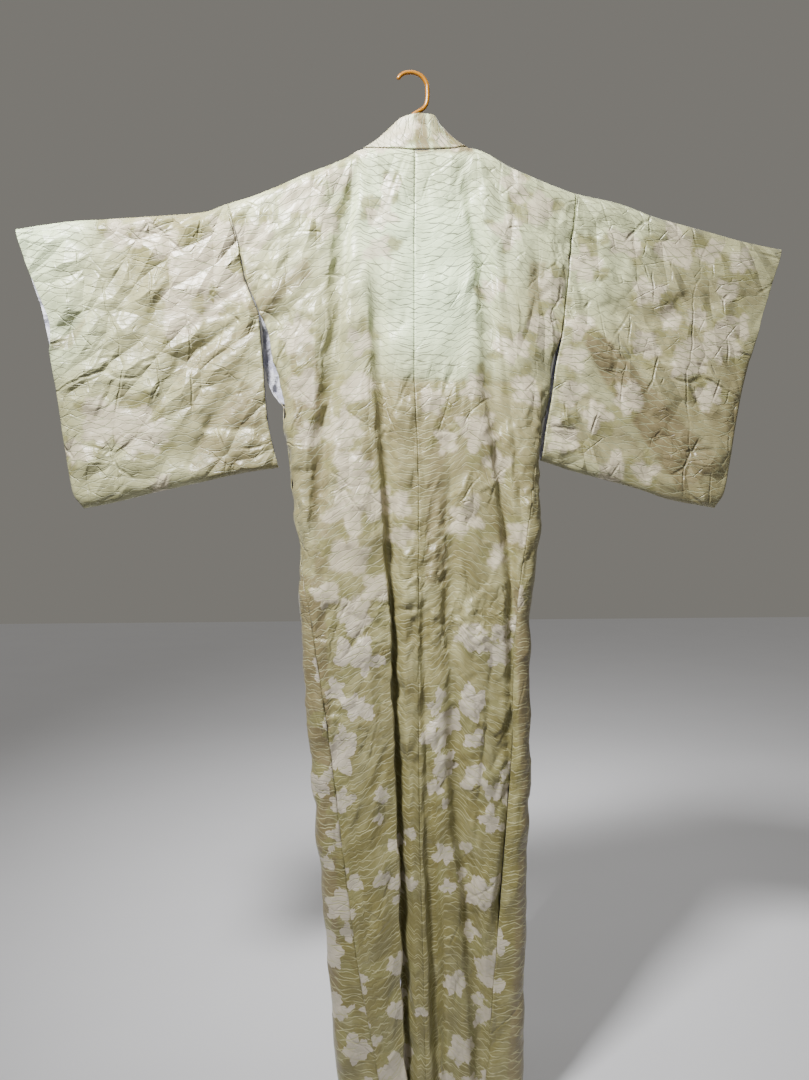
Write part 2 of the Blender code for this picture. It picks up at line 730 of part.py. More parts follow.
def sleeve_frame(sleeve):
    """The sleeve's outline as four curves on the same rows and columns: inner, outer, top and bottom."""
    side = sleeve["side"]
    (top, armpit), column = sleeve["armhole"]
    armhole_z = top + (armpit - top) * ARMHOLE_SHARES
    armhole = np.stack([body(column, armhole_z) + side * SEAM_GAP / 2, armhole_z], axis=1)
    edge = sleeve["open_edge"]
    bottom_z = edge["z"][-1]
    open_z = armpit + (bottom_z - armpit) * OPEN_SHARES
    places = np.concatenate([[armpit], edge["z"]])
    values = np.concatenate([[armhole[-1, 0]], edge["x"]])
    opened = np.stack([smooth(open_z, places, values), open_z], axis=1)
    inner = np.concatenate([armhole, opened])
    cuff_z = sleeve["cuff"]["z"]
    cuff_rows = cuff_z[0] + (cuff_z[-1] - cuff_z[0]) * ARMHOLE_SHARES
    cuff = np.stack([smooth(cuff_rows, cuff_z, sleeve["cuff"]["x"]), cuff_rows], axis=1)
    outer_z = sleeve["outer"]["z"]
    outer_rows = outer_z[0] + (outer_z[-1] - outer_z[0]) * OPEN_SHARES
    outer = np.concatenate([cuff, np.stack([smooth(outer_rows, outer_z, sleeve["outer"]["x"]), outer_rows], axis=1)])
    top_x = inner[0, 0] + (outer[0, 0] - inner[0, 0]) * SLEEVE_ACROSS
    bottom_x = inner[-1, 0] + (outer[-1, 0] - inner[-1, 0]) * SLEEVE_ACROSS
    top_edge = np.stack([top_x, top_line(top_x)], axis=1)
    bottom_edge = np.stack([bottom_x, smooth(bottom_x, sleeve["bottom"]["x"], sleeve["bottom"]["z"])], axis=1)
    return inner, outer, top_edge, bottom_edge


def sleeve_plane(sleeve):
    """The sleeve's flat grid in x and z: its four edges blended over the inside."""
    inner, outer, top_edge, bottom_edge = sleeve_frame(sleeve)
    inner_share = (inner[:, 1] - inner[0, 1]) / (inner[-1, 1] - inner[0, 1])
    outer_share = (outer[:, 1] - outer[0, 1]) / (outer[-1, 1] - outer[0, 1])
    across = SLEEVE_ACROSS[None, :, None]
    down = (inner_share[:, None] * (1 - SLEEVE_ACROSS) + outer_share[:, None] * SLEEVE_ACROSS)[..., None]
    between_sides = inner[:, None] * (1 - across) + outer[:, None] * across
    between_ends = top_edge[None] * (1 - down) + bottom_edge[None] * down
    corners = (
        inner[0] * (1 - down) * (1 - across)
        + inner[-1] * down * (1 - across)
        + outer[0] * (1 - down) * across
        + outer[-1] * down * across
    )
    return between_sides + between_ends - corners


def crease_depth(creases, x, z):
    """Soft troughs, or ridges where the depth is negative, along straight lines that fade at both ends."""
    total = np.zeros_like(x)
    for x1, z1, x2, z2, half, depth in zip(*creases.values()):
        run = np.array([x2 - x1, z2 - z1])
        length = np.hypot(*run)
        along = ((x - x1) * run[0] + (z - z1) * run[1]) / length**2
        beside = np.abs((x - x1) * run[1] - (z - z1) * run[0]) / length
        fade = quarter_round(np.clip(along, 0, 1) * 3) * quarter_round((1 - np.clip(along, 0, 1)) * 3)
        past = np.maximum(np.abs(along - 0.5) - 0.5, 0) * length
        total += depth * fade * np.exp(-((beside / half) ** 2) - (past / half) ** 2)
    return total


def sleeve_layers(sleeve):
    """Outer faces of the sleeve's back and front layer, which meet at the top fold and the sewn edges."""
    plane = sleeve_plane(sleeve)
    inner, outer, _, bottom_edge = sleeve_frame(sleeve)
    x, z = plane[..., 0], plane[..., 1]
    across = SLEEVE_ACROSS[None]
    below = top_line(x) - z
    above = z - smooth(x, sleeve["bottom"]["x"], sleeve["bottom"]["z"])
    from_edge = np.abs(outer[:, None, 0] - x)
    cuff_end = sleeve["cuff"]["z"][-1]
    is_open = np.clip((outer[:, 1][:, None] - cuff_end) / sleeve["cuff_rise"], 0, 1) ** 0.5
    closed = quarter_round(from_edge / SLEEVE_EDGE)
    half = SLEEVE_HALF + (sleeve["cuff_half"] - SLEEVE_HALF) * across
    half = half * quarter_round(below / FOLD_DEPTH) * quarter_round(above / SLEEVE_EDGE)
    half = half * (closed + (1 - closed) * is_open)
    creases = crease_depth(SLEEVE_CREASES, x, z) * np.clip(half / SLEEVE_HALF, 0, 1)
    inset = smooth(z, sleeve["cuff_inset"]["z"], sleeve["cuff_inset"]["inset"])
    inset = np.where(z > cuff_end, inset, 0) * np.clip((across - 0.75) / 0.25, 0, 1) ** 2
    back = np.stack([x - sleeve["side"] * inset, -half + creases, z], axis=-1)
    front = np.stack([x, half, z], axis=-1)
    return back, front


def make_sleeve(name, sleeve, material):
    """A sleeve as one folded cloth: open where it meets the body, at the cuff and along its lower inner edge."""
    back, front = sleeve_layers(sleeve)
    rows, columns = back.shape[:2]
    back_index = np.arange(rows * columns).reshape(rows, columns)
    shared = np.zeros((rows, columns), bool)
    shared[0] = shared[-1] = True
    shared[CUFF_ROW:, -1] = True
    front_index = back_index.copy()
    front_index[~shared] = rows * columns + np.arange((~shared).sum())
    points = np.concatenate([back.reshape(-1, 3), front[~shared]])
    sheet = np.concatenate([split_grid(back_index, points), split_grid(front_index, points)[:, ::-1]])
    loop_in = np.concatenate([back_index[:, 0], front_index[-2:0:-1, 0]])
    loop_out = np.concatenate([back_index[: CUFF_ROW + 1, -1], front_index[CUFF_ROW - 1 : 0 : -1, -1]])
    inner = inner_sheet(points, sheet, sleeve["side"] * -1, CLOTH, [(loop_in, 0, 0)])
    rims = [rim(loop_in[::-1], len(points)), rim(loop_out, len(points))]
    triangles = np.concatenate([sheet, sheet[:, ::-1] + len(points), *rims])
    return make_object(name, np.concatenate([points, inner]), triangles, material)


def tube(name, path, radius, material):
    """A round bar along a path of points in millimetres, closed at both ends."""
    curve = bpy.data.curves.new(name, "CURVE")
    curve.dimensions = "3D"
    curve.bevel_depth = radius * MILLIMETRE
    curve.bevel_resolution = 3
    curve.use_fill_caps = True
    spline = curve.splines.new("POLY")
    spline.points.add(len(path) - 1)
    for point, place in zip(spline.points, path * MILLIMETRE):
        point.co = (*place, 1.0)
    curve.materials.append(material)
    thing = bpy.data.objects.new(name, curve)
    bpy.context.scene.collection.objects.link(thing)
    return thing


def hook_path():
    """The hook's centre line: round over the nail, down its side and back under to the stem."""
    place = np.arange(len(HOOK["x"]))
    at = np.linspace(0, place[-1], 2 * len(place))
    return np.stack([smooth(at, place, HOOK["x"]), np.zeros_like(at), smooth(at, place, HOOK["z"])], axis=1)


def arms_path():
    """The arms' centre line: just under the shoulder folds at both ends, and lower towards the neck."""
    x = np.linspace(-ARM_REACH, ARM_REACH, 27)
    outside = np.where(x < NECK_MIDDLE, np.minimum(x, -116), np.maximum(x, 130))
    slope = np.where(x < NECK_MIDDLE, -0.30, 0.34)
    top = top_line(outside) + (outside - x) * slope * np.clip(np.abs(outside - x) / 60, 0, 1)
    extra = 0.6 + 2.5 * np.clip((ARM_REACH - np.abs(x)) / 60, 0, 1)
    extra += 10 * np.exp(-(((np.abs(x - 6) - 94) / 34) ** 2))
    z = top - CLOTH - SEAM_GAP - TUBE_RADIUS - 0.35 - extra
    apex = np.exp(-(((x - 3) / 26) ** 2))
    return np.stack([x, np.zeros_like(x), z * (1 - apex) + apex * np.minimum(z, -114)], axis=1)


def make_hanger(material):
    """The hanger: two sloping arms with its hook's stem grown into them."""
    arms = tube("hanger", arms_path(), TUBE_RADIUS, material)
    hook = tube("hook_cutter", hook_path(), HOOK_RADIUS, material)
    for thing in (arms, hook):
        bpy.context.view_layer.update()
        graph = bpy.context.evaluated_depsgraph_get()
        mesh = bpy.data.meshes.new_from_object(thing.evaluated_get(graph))
        solid = bpy.data.objects.new(thing.name + "_solid", mesh)
        bpy.context.scene.collection.objects.link(solid)
    bpy.data.objects.remove(arms)
    bpy.data.objects.remove(hook)
    arms = bpy.data.objects["hanger_solid"]
    hook = bpy.data.objects["hook_cutter_solid"]
    arms.name = "hanger"
    for solid in (arms, hook):
        weld = solid.modifiers.new("weld", "WELD")
        weld.merge_threshold = 0.00001
    hook.hide_render = True
    hook.display_type = "WIRE"
    union = arms.modifiers.new("stem", "BOOLEAN")
    union.operation = "UNION"
    union.object = hook
    return arms


def finish(name, colour, roughness):
    """A plain finish with the colour and roughness of one material."""
    material = bpy.data.materials.new(name)
    material.use_nodes = True
    shader = material.node_tree.nodes["Principled BSDF"]
    shader.inputs["Base Color"].default_value = (*colour, 1.0)
    shader.inputs["Roughness"].default_value = roughness
    return material


def main():
    for thing in list(bpy.data.objects):
        bpy.data.objects.remove(thing)
    cloth = finish("figured_satin", (0.62, 0.60, 0.42), 0.45)
    lining = finish("plain_lining", (0.78, 0.79, 0.80), 0.6)
    plastic = finish("amber_plastic", (0.75, 0.33, 0.03), 0.3)
    grids = {side: make_half_body(side, cloth, lining) for side in (-1, 1)}
    make_sleeve("sleeve_left", LEFT_SLEEVE, cloth)
    make_sleeve("sleeve_right", RIGHT_SLEEVE, cloth)
    make_collar(grids, cloth)
    make_hanger(plastic)


main()
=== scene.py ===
"""A kimono robe of figured satin on a plastic clothes hanger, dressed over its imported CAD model.

Lengths in the tables are millimetres and become metres where a mesh is made. The robe's outlines, folds and
seams are the same as in the part's source, worked out again here on much finer grids.
"""

import math

import bpy
import numpy as np
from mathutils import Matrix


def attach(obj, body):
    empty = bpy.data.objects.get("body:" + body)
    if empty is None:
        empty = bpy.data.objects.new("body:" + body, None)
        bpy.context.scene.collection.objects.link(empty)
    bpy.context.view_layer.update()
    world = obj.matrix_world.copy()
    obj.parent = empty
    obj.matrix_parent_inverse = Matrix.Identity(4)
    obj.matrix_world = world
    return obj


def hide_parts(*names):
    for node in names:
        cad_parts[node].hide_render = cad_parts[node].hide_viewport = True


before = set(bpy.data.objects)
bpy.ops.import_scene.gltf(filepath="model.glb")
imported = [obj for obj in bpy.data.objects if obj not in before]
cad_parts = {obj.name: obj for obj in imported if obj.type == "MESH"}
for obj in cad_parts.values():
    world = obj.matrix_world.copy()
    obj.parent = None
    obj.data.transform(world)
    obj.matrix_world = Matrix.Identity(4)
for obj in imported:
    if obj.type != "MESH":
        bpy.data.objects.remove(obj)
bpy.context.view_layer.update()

bl_info = {
    "name": "Kimono robe on a hanger",
    "version": (1, 0, 0),
    "blender": (4, 5, 0),
    "location": "3D View > Sidebar > Robe",
    "description": "Makes a lined satin kimono robe, its hanger and a plain studio",
    "category": "Add Mesh",
}

MILLIMETRE = 0.001
SEAM_GAP = 0.3
ROBE_DEPTH = 30.0
NECK_DEPTH = 27.0
NECK_HALF = 93.0
NECK_MIDDLE = 7.0
FOLD_DEPTH = 28.0
HEM = -1815.0
COLLAR_WIDTH = 66.0
COLLAR_END = -930.0
OVER_COLLAR_END = -535.0
SLEEVE_HALF = 14.0
SLEEVE_EDGE = 26.0
LEFT_FRONT = 21.0
RIGHT_FRONT = 12.0
OPENING_END = -592.0
COLLAR_PROUD = 0.8
TUBE_RADIUS = 4.5
HOOK_RADIUS = 3.75
ARM_REACH = 205.0
RISE_FADE = 340.0
PATH_POINTS = 420


def table(columns, rows):
    """A table with named columns, as one array for each name."""
    return dict(zip(columns.split(), np.array(rows, float).T))


TOP = table(
    "x z",
    [
        (-671, -296),
        (-585, -280),
        (-514, -273),
        (-424, -264),
        (-359, -256),
        (-318, -240),
        (-272, -225),
        (-184, -186),
        (-116, -156),
        (-86, -139),
        (-55, -142),
        (4, -145),
        (69, -138),
        (100, -129),
        (188, -165),
        (279, -196),
        (296, -200),
        (377, -215),
        (441, -236),
        (542, -260),
        (622, -278),
        (683, -288),
    ],
)
BODY = table(
    "z left_edge left_seam centre right_seam right_edge",
    [
        (-145, -325, -325, 4, 299, 299),
        (-200, -322, -322, 4, 296, 296),
        (-240, -318, -318, 4, 292, 292),
        (-302, -302, -302, 3, 286, 286),
        (-371, -289, -289, 3, 279, 279),
        (-430, -265, -265, 3, 272, 272),
        (-465, -250, -250, 3, 264, 264),
        (-517, -240, -240, 3, 252, 252),
        (-581, -225, -225, 5, 242, 242),
        (-617, -221, -221, 7, 233, 236),
        (-672, -215, -215, 10, 221, 228),
        (-767, -204, -204, 11, 208, 231),
        (-850, -196, -196, 11, 196, 226),
        (-937, -194, -178, 11, 184, 217),
        (-1031, -187, -164, 11, 177, 212),
        (-1145, -181, -147, 11, 176, 213),
        (-1368, -162, -119, 14, 161, 210),
        (-1551, -148, -95, 19, 146, 204),
        (-1665, -137, -74, 21, 137, 201),
        (-1815, -128, -47, 24, 127, 199),
    ],
)
SIDE = table(
    "z edge radius",
    [(-145, 14, 140), (-430, 14, 130), (-500, 10, 80), (-560, 5, 50), (-592, 0, 36), (-700, 0, 32), (-1815,
        0, 28)],
)
PEEK = table("z out", [(-432, 0), (-446, 3), (-470, 10), (-500, 13), (-535, 16), (-556, 18), (-570, 13),
    (-592, 0)])
FRONT = table(
    "z left_collar left_overlap right_collar right_overlap",
    [
        (-129, -88, -30, 102, 44),
        (-155, -82, -30, 98, 44),
        (-200, -74, -29, 90, 43),
        (-270, -62, -28, 77, 42),
        (-370, -40, -26, 55, 41),
        (-418, -27.6, -26, 45.5, 40.6),
        (-430, -23.6, -25.4, 42.5, 40.6),
        (-441, -21, -24.9, 38.6, 40.5),
        (-500, -8, -22, 24, 40),
        (-700, 42, -14, -22, 38),
        (-930, 92, -4, -64, 36),
        (-1815, 92, 22, -64, 38),
    ],
)
FRONT_EDGE = table("z left right", [(-900, 158, -128), (-1300, 164, -116), (-1815, 168, -100)])
# Each long fold of the back: its lean, and its path with half width and depth. A ridge has a negative depth.
FOLD_COLUMNS = "z x half_width depth"
FOLDS = {
    "left_long": (
        0.0,
        table(
            FOLD_COLUMNS,
            [
                (-170, -94, 8, 0),
                (-250, -112, 11, 6),
                (-328, -125, 12, 8),
                (-480, -133, 14, 9),
                (-577, -140, 16, 10),
                (-634, -155, 16, 9),
                (-785, -166, 14, 6),
                (-850, -180, 12, 0),
            ],
        ),
    ),
    "right_long": (
        0.15,
        table(
            FOLD_COLUMNS,
            [
                (-160, 96, 8, 0),
                (-234, 104, 11, 6),
                (-286, 118, 12, 9),
                (-356, 130, 14, 10),
                (-566, 137, 13, 8),
                (-640, 152, 12, 9),
                (-757, 161, 11, 11),
                (-830, 168, 10, 12),
                (-970, 174, 9, 10),
                (-1180, 172, 9, 8),
                (-1321, 165, 9, 9),
                (-1410, 157, 9, 8),
                (-1560, 141, 9, 0),
            ],
        ),
    ),
    "centre_pleat": (
        -0.3,
        table(
            FOLD_COLUMNS,
            [
                (-300, -60, 10, 0),
                (-396, -61, 13, 5),
                (-465, -57, 13, 8),
                (-570, -52, 13, 12),
                (-716, -41, 12, 17),
                (-857, -33, 10, 23),
                (-998, -26, 8, 28),
                (-1104, -24, 7, 31),
                (-1315, -15, 7, 32),
                (-1600, -6, 7, 32),
                (-1815, 2, 7, 32),
            ],
        ),
    ),
    "centre_right": (
        0.0,
        table(
            FOLD_COLUMNS,
            [
                (-690, 54, 12, 0),
                (-782, 30, 11, 6),
                (-891, 22, 9, 6),
                (-1050, 24, 8, 6),
                (-1211, 28, 8, 9),
                (-1434, 37, 9, 14),
                (-1581, 45, 10, 17),
                (-1815, 47, 10, 18),
            ],
        ),
    ),
    "right_middle": (
        0.0,
        table(
            FOLD_COLUMNS,
            [
                (-690, 62, 14, 0),
                (-832, 64, 15, 7),
                (-1105, 73, 15, 10),
                (-1318, 82, 14, 12),
                (-1392, 96, 14, 13),
                (-1584, 107, 14, 14),
                (-1815, 124, 14, 14),
            ],
        ),
    ),
    "left_swell": (
        0.0,
        table(
            FOLD_COLUMNS,
            [(-560, -95, 36, 0), (-800, -100, 38, -5), (-1100, -90, 36, -6), (-1400, -70, 32, -6), (-1815,
                -42, 26, -5)],
        ),
    ),
    "right_swell": (
        0.0,
        table(
            FOLD_COLUMNS,
            [(-900, 120, 24, 0), (-1100, 122, 24, -4), (-1400, 128, 20, -5), (-1815, 84, 16, -4)],
        ),
    ),
}
LEFT_SLEEVE = {
    "name": "sleeve_left",
    "armhole": ((-240, -430), "left_edge"),
    "open_edge": table("x z", [(-261, -481), (-257, -526), (-254, -570), (-250, -614), (-241, -658), (-231,
        -696)]),
    "cuff": table("x z", [(-671, -296), (-652, -368), (-631, -437), (-617, -506)]),
    "outer": table("x z", [(-617, -506), (-604, -580), (-594, -650), (-583, -718), (-577, -745), (-560,
        -768)]),
    "bottom": table("x z", [(-231, -696), (-289, -705), (-351, -719), (-445, -741), (-510, -758), (-560,
        -768)]),
    "cuff_inset": table("z inset", [(-296, 0), (-360, 4), (-410, 9), (-455, 13), (-484, 8), (-506, 0)]),
    "side": -1,
    "cuff_half": 12.5,
    "cuff_rise": 24.0,
}
RIGHT_SLEEVE = {
    "name": "sleeve_right",
    "armhole": ((-200, -425), "right_edge"),
    "open_edge": table("x z", [(266, -470), (257, -519), (250, -564), (241, -617), (232, -679)]),
    "cuff": table("x z", [(683, -288), (664, -352), (643, -424), (622, -495)]),
    "outer": table("x z", [(622, -495), (607, -554), (595, -620), (584, -686), (574, -736), (556, -763)]),
    "bottom": table("x z", [(232, -679), (281, -695), (350, -713), (415, -730), (470, -748), (556, -763)]),
    "cuff_inset": table("z inset", [(-288, 0), (-400, 3), (-495, 0)]),
    "side": 1,
    "cuff_half": 9.0,
    "cuff_rise": 60.0,
}
LEFT_NECK = table(
    "run x y z",
    [
        (0, 10, -13, -76),
        (34, -14, -9, -82),
        (66, -34, 0, -96),
        (98, -46, 12, -106),
        (125, -38, 24, -120),
        (160, -22, 27, -150),
        (215, -8, 24, -195),
    ],
)
RIGHT_NECK = table(
    "run x y z",
    [
        (0, 10, -13, -76),
        (34, 36, -8, -75),
        (66, 50, 0, -88),
        (100, 64, 10, -98),
        (128, 60, 16, -113),
        (165, 44, 17, -140),
        (220, 32, 15, -185),
    ],
)
HOOK = table(
    "x z",
    [
        (-25, -15),
        (-19, -3.5),
        (-9, 2.4),
        (2, 3.75),
        (14, 0.6),
        (24, -8),
        (29, -20),
        (29.5, -35),
        (28, -49),
        (21, -60),
        (11, -66),
        (4, -72),
        (3, -84),
        (3, -134),
    ],
)

# The widest creases of the sleeves, as in the part's source: both ends, half width and depth into the sleeve.
SLEEVE_CREASES = table(
    "x1 z1 x2 z2 half_width depth",
    [
        (-366, -440, -200, -300, 15, 5),
        (-440, -560, -296, -440, 15, 6),
        (-618, -500, -540, -440, 14, 5),
        (-505, -590, -432, -602, 15, 5),
        (-361, -634, -258, -634, 14, 4),
        (-640, -392, -500, -482, 16, -4),
        (-300, -545, -385, -700, 16, 4),
        (272, -430, 360, -480, 15, -5),
        (345, -470, 420, -556, 15, -5),
        (410, -545, 592, -676, 15, -5),
        (280, -432, 330, -560, 14, -4),
        (330, -560, 496, -748, 14, -4),
        (365, -408, 440, -432, 14, 5),
        (440, -432, 510, -385, 14, 4),
        (480, -384, 640, -398, 15, 4),
    ],
)

# Sharp creases of the side that shows. Each has its reach on the left and on the right of its path, its depth
# into the cloth (a ridge has a negative one), and the path's points, x and z.
PRESSED = [
    (3, 5, 1.3, ((-78, -545), (60, -546), (228, -549))),
    (5, 3, 0.8, ((-230, -540), (-150, -543), (-100, -545))),
    (7, 20, 5.0, ((-93, -174), (-104, -234), (-114, -296), (-125, -375), (-128, -454), (-137, -542), (-149,
        -612))),
    (8, 18, 4.0, ((-140, -560), (-149, -612), (-158, -699), (-163, -778))),
    (20, 6, 3.2, ((-64, -372), (-58, -465), (-53, -570), (-44, -663), (-39, -751), (-35, -857))),
    (10, 24, 5.0, ((91, -156), (98, -209), (109, -280), (121, -359), (136, -448), (145, -537), (152, -643))),
    (4, 16, 3.4, ((130, -306), (145, -394), (159, -474), (168, -554), (181, -643), (192, -750), (199, -831))),
    (3, 18, 5.0, ((23, -1250), (27, -1352), (36, -1458), (41, -1565), (46, -1671), (52, -1778))),
    (12, 14, 5.0, ((73, -1105), (78, -1221), (87, -1354), (102, -1488), (114, -1598), (130, -1693), (141,
        -1774))),
    (16, 4, 4.5, ((186, -1036), (183, -1179), (172, -1312), (156, -1445), (145, -1525))),
    (14, 4, 3.4, ((134, -1106), (123, -1199), (114, -1284), (109, -1355))),
    (12, 12, 4.0, ((52, -574), (64, -662), (69, -786), (73, -928), (69, -1034))),
    (3, 12, 3.0, ((23, -928), (23, -1104), (25, -1246))),
    (12, 4, 4.0, ((148, -644), (159, -750), (174, -857), (177, -1000), (174, -1107))),
    (12, 16, 2.6, ((-125, -787), (-116, -892), (-104, -1015), (-97, -1102))),
    (10, 14, 2.6, ((-58, -927), (-55, -1103), (-48, -1279), (-37, -1456))),
    (14, 4, 3.4, ((-368, -437), (-327, -438), (-290, -417), (-262, -396), (-222, -362))),
    (10, 4, 2.4, ((-350, -423), (-318, -404), (-292, -388), (-276, -398))),
    (5, 18, 4.4, ((-442, -562), (-414, -540), (-401, -510), (-368, -493), (-337, -468), (-290, -436))),
    (4, 12, 2.4, ((-404, -530), (-380, -512), (-352, -484))),
    (4, 14, 3.2, ((-619, -470), (-588, -462))),
    (16, 3, 4.2, ((-617, -484), (-590, -475), (-563, -455), (-538, -430))),
    (4, 10, 2.4, ((-617, -497), (-602, -505), (-579, -510))),
    (4, 16, 3.0, ((-600, -572), (-545, -563), (-515, -558), (-474, -568), (-436, -580), (-415, -560))),
    (20, 3.5, 3.6, ((-360, -632), (-310, -634), (-252, -626))),
    (5, 24, 3.4, ((-362, -632), (-326, -590), (-295, -545))),
    (22, 4, 3.2, ((-360, -637), (-374, -672), (-387, -703))),
    (4, 16, 2.6, ((-252, -635), (-266, -668), (-275, -697))),
    (4, 9, 2.0, ((-353, -700), (-322, -690), (-295, -677))),
    (3, 10, 1.8, ((-560, -645), (-535, -687))),
    (3, 8, 1.6, ((-523, -607), (-500, -650))),
    (3, 8, 1.6, ((-465, -518), (-437, -563))),
    (4, 10, 2.0, ((-487, -410), (-445, -423), (-425, -429))),
    (7, 14, -2.6, ((-652, -370), (-598, -387), (-543, -412), (-504, -417))),
    (4, 10, 1.8, ((-485, -455), (-504, -459), (-532, -492))),
    (3, 8, 2.0, ((-420, -277), (-392, -271), (-363, -268))),
    (3, 7, 1.4, ((-368, -335), (-362, -350), (-368, -385))),
    (4, 9, 1.6, ((-600, -645), (-560, -690), (-540, -735))),
    (5, 20, -3.4, ((274, -412), (326, -435), (363, -467), (410, -512), (450, -555), (489, -602), (573,
        -678))),
    (20, 5, -3.0, ((281, -432), (308, -468), (338, -533), (360, -580), (402, -625), (445, -672), (488,
        -742))),
    (3, 9, 2.4, ((326, -409), (350, -400), (378, -394))),
    (3, 9, 2.2, ((474, -393), (508, -370))),
    (6, 14, 2.4, ((378, -385), (430, -413), (500, -440))),
    (4, 14, 3.0, ((478, -567), (527, -581), (600, -577))),
    (3, 10, 2.4, ((235, -682), (293, -666), (301, -652))),
    (4, 12, 3.0, ((431, -672), (489, -681), (518, -662))),
    (3, 9, 2.4, ((527, -701), (575, -712))),
    (10, 4, -2.2, ((426, -598), (450, -590), (470, -573))),
    (4, 12, 2.4, ((532, -650), (560, -672), (590, -680))),
    (4, 14, 2.8, ((650, -402), (615, -450), (585, -468))),
    (3, 9, 2.0, ((300, -575), (312, -570), (345, -577))),
    (3, 8, 1.6, ((352, -520), (390, -525), (425, -545))),
    (8, 14, 2.0, ((280, -275), (320, -320), (350, -360))),
    (5, 10, 1.4, ((300, -262), (345, -318), (372, -352))),
    (4, 9, 1.4, ((265, -290), (300, -340), (318, -372))),
    (12, 4, 2.6, ((-247, -449), (-225, -442), (-206, -428))),
    (3, 7, 1.6, ((-215, -447), (-203, -443), (-190, -452))),
    (4, 12, 3.0, ((-122, -428), (-130, -470), (-141, -512), (-162, -535))),
    (3, 9, 2.0, ((-228, -533), (-212, -522), (-197, -506))),
    (3, 8, 1.6, ((-164, -510), (-152, -494))),
    (4, 12, 1.6, ((-240, -390), (-200, -345), (-150, -295))),
    (3, 9, 1.4, ((-245, -375), (-215, -340), (-170, -300))),
    (3, 9, 1.3, ((-225, -400), (-180, -350), (-140, -315))),
    (4, 10, 1.8, ((125, -165), (165, -205), (200, -248), (242, -292))),
    (3, 9, 1.4, ((140, -162), (190, -215), (225, -262))),
    (3, 9, 1.8, ((212, -298), (222, -340), (222, -372))),
    (4, 9, 1.6, ((160, -300), (166, -345), (180, -390))),
    (3, 12, 2.6, ((-208, -702), (-185, -703), (-162, -699))),
    (4, 10, 1.8, ((-162, -744), (-148, -730), (-130, -727))),
    (9, 3, 2.2, ((-86, -817), (-62, -806), (-52, -786))),
    (3, 8, 2.0, ((-121, -944), (-95, -954), (-72, -963), (-42, -964))),
    (3, 8, 1.6, ((-107, -994), (-75, -978), (-42, -966))),
    (2.5, 7, 2.2, ((-30, -942), (-8, -939), (13, -940))),
    (10, 4, -3.0, ((51, -700), (30, -750), (22, -795), (16, -860))),
    (3, 10, 2.6, ((178, -915), (198, -905), (219, -884))),
    (3, 9, 1.8, ((141, -885), (115, -910), (86, -941))),
    (3, 8, 1.8, ((134, -892), (130, -930), (128, -985))),
    (3, 9, 1.6, ((-112, -1168), (-90, -1182), (-72, -1190))),
    (8, 4, -2.0, ((-76, -1240), (-62, -1205), (-45, -1168))),
    (5, 9, -2.4, ((14, -1230), (22, -1190), (28, -1150))),
    (3, 10, 2.6, ((124, -1176), (157, -1160), (172, -1128), (178, -1098))),
    (3, 9, 2.4, ((145, -1190), (166, -1160), (178, -1120))),
    (3, 9, 1.8, ((-178, -1080), (-165, -1092), (-148, -1110))),
    (3, 9, 1.8, ((-176, -1146), (-160, -1140), (-146, -1134))),
    (3, 9, 1.8, ((-172, -1215), (-156, -1222), (-140, -1230))),
    (3, 8, 1.4, ((-90, -1440), (-70, -1428), (-55, -1418))),
    (3, 8, 1.4, ((-75, -1468), (-60, -1478), (-45, -1478))),
    (5, 9, -2.4, ((-50, -1725), (-28, -1700), (-10, -1682), (-5, -1650))),
    (3, 9, 2.0, ((196, -1690), (188, -1710), (165, -1722))),
]


def smooth(at, places, values):
    """The height of a smooth curve through a short table, with slopes that never overshoot its points."""
    places = np.asarray(places, float)
    values = np.asarray(values, float)
    if places[0] > places[-1]:
        places, values = places[::-1], values[::-1]
    step = np.diff(places)
    rise = np.diff(values) / step
    slope = np.zeros_like(values)
    before, after = rise[:-1], rise[1:]
    same_way = before * after > 0
    slope[1:-1][same_way] = 2 * before[same_way] * after[same_way] / (before + after)[same_way]
    slope[0], slope[-1] = rise[0], rise[-1]
    at = np.clip(at, places[0], places[-1])
    k = np.clip(np.searchsorted(places, at, side="right") - 1, 0, len(step) - 1)
    t = (at - places[k]) / step[k]
    start = (1 + 2 * t) * (1 - t) ** 2 * values[k] + t * (1 - t) ** 2 * step[k] * slope[k]
    end = t**2 * (3 - 2 * t) * values[k + 1] - t**2 * (1 - t) * step[k] * slope[k + 1]
    return start + end


def quarter_round(share):
    """A quarter circle's rise: 0 at a fold, 1 once the cloth has opened out."""
    return np.sqrt(1 - (1 - np.clip(share, 0, 1)) ** 2)


def top_line(x):
    return smooth(x, TOP["x"], TOP["z"])


def body(column, z):
    return smooth(z, BODY["z"], BODY[column])


def fold_shift(x, z):
    """How far the long folds move a point of the back sideways and inwards: depth x exp(-|distance|^2.6)."""
    sideways = np.zeros(np.broadcast(x, z).shape)
    inwards = np.zeros_like(sideways)
    for lean, fold in FOLDS.values():
        middle = smooth(z, fold["z"], fold["x"])
        half = smooth(z, fold["z"], fold["half_width"])
        depth = smooth(z, fold["z"], fold["depth"])
        depth = np.where((z > fold["z"][0]) & (fold["depth"][0] == 0), 0, depth)
        depth = np.where((z < fold["z"][-1]) & (fold["depth"][-1] == 0), 0, depth)
        share = depth * np.exp(-np.abs((x - middle) / half) ** 2.6)
        inwards += share
        sideways += lean * share
    return sideways, inwards


def edge_share(x, z, edge):
    """Depth at the side edge, and the share of the way from it to the full depth."""
    at_edge = smooth(z, SIDE["z"], SIDE["edge"])
    share = np.clip(np.abs(x - edge) / smooth(z, SIDE["z"], SIDE["radius"]), 0, 1)
    joined = at_edge / SIDE["edge"][0]
    return at_edge, joined * share * (2 - share) + (1 - joined) * quarter_round(share)


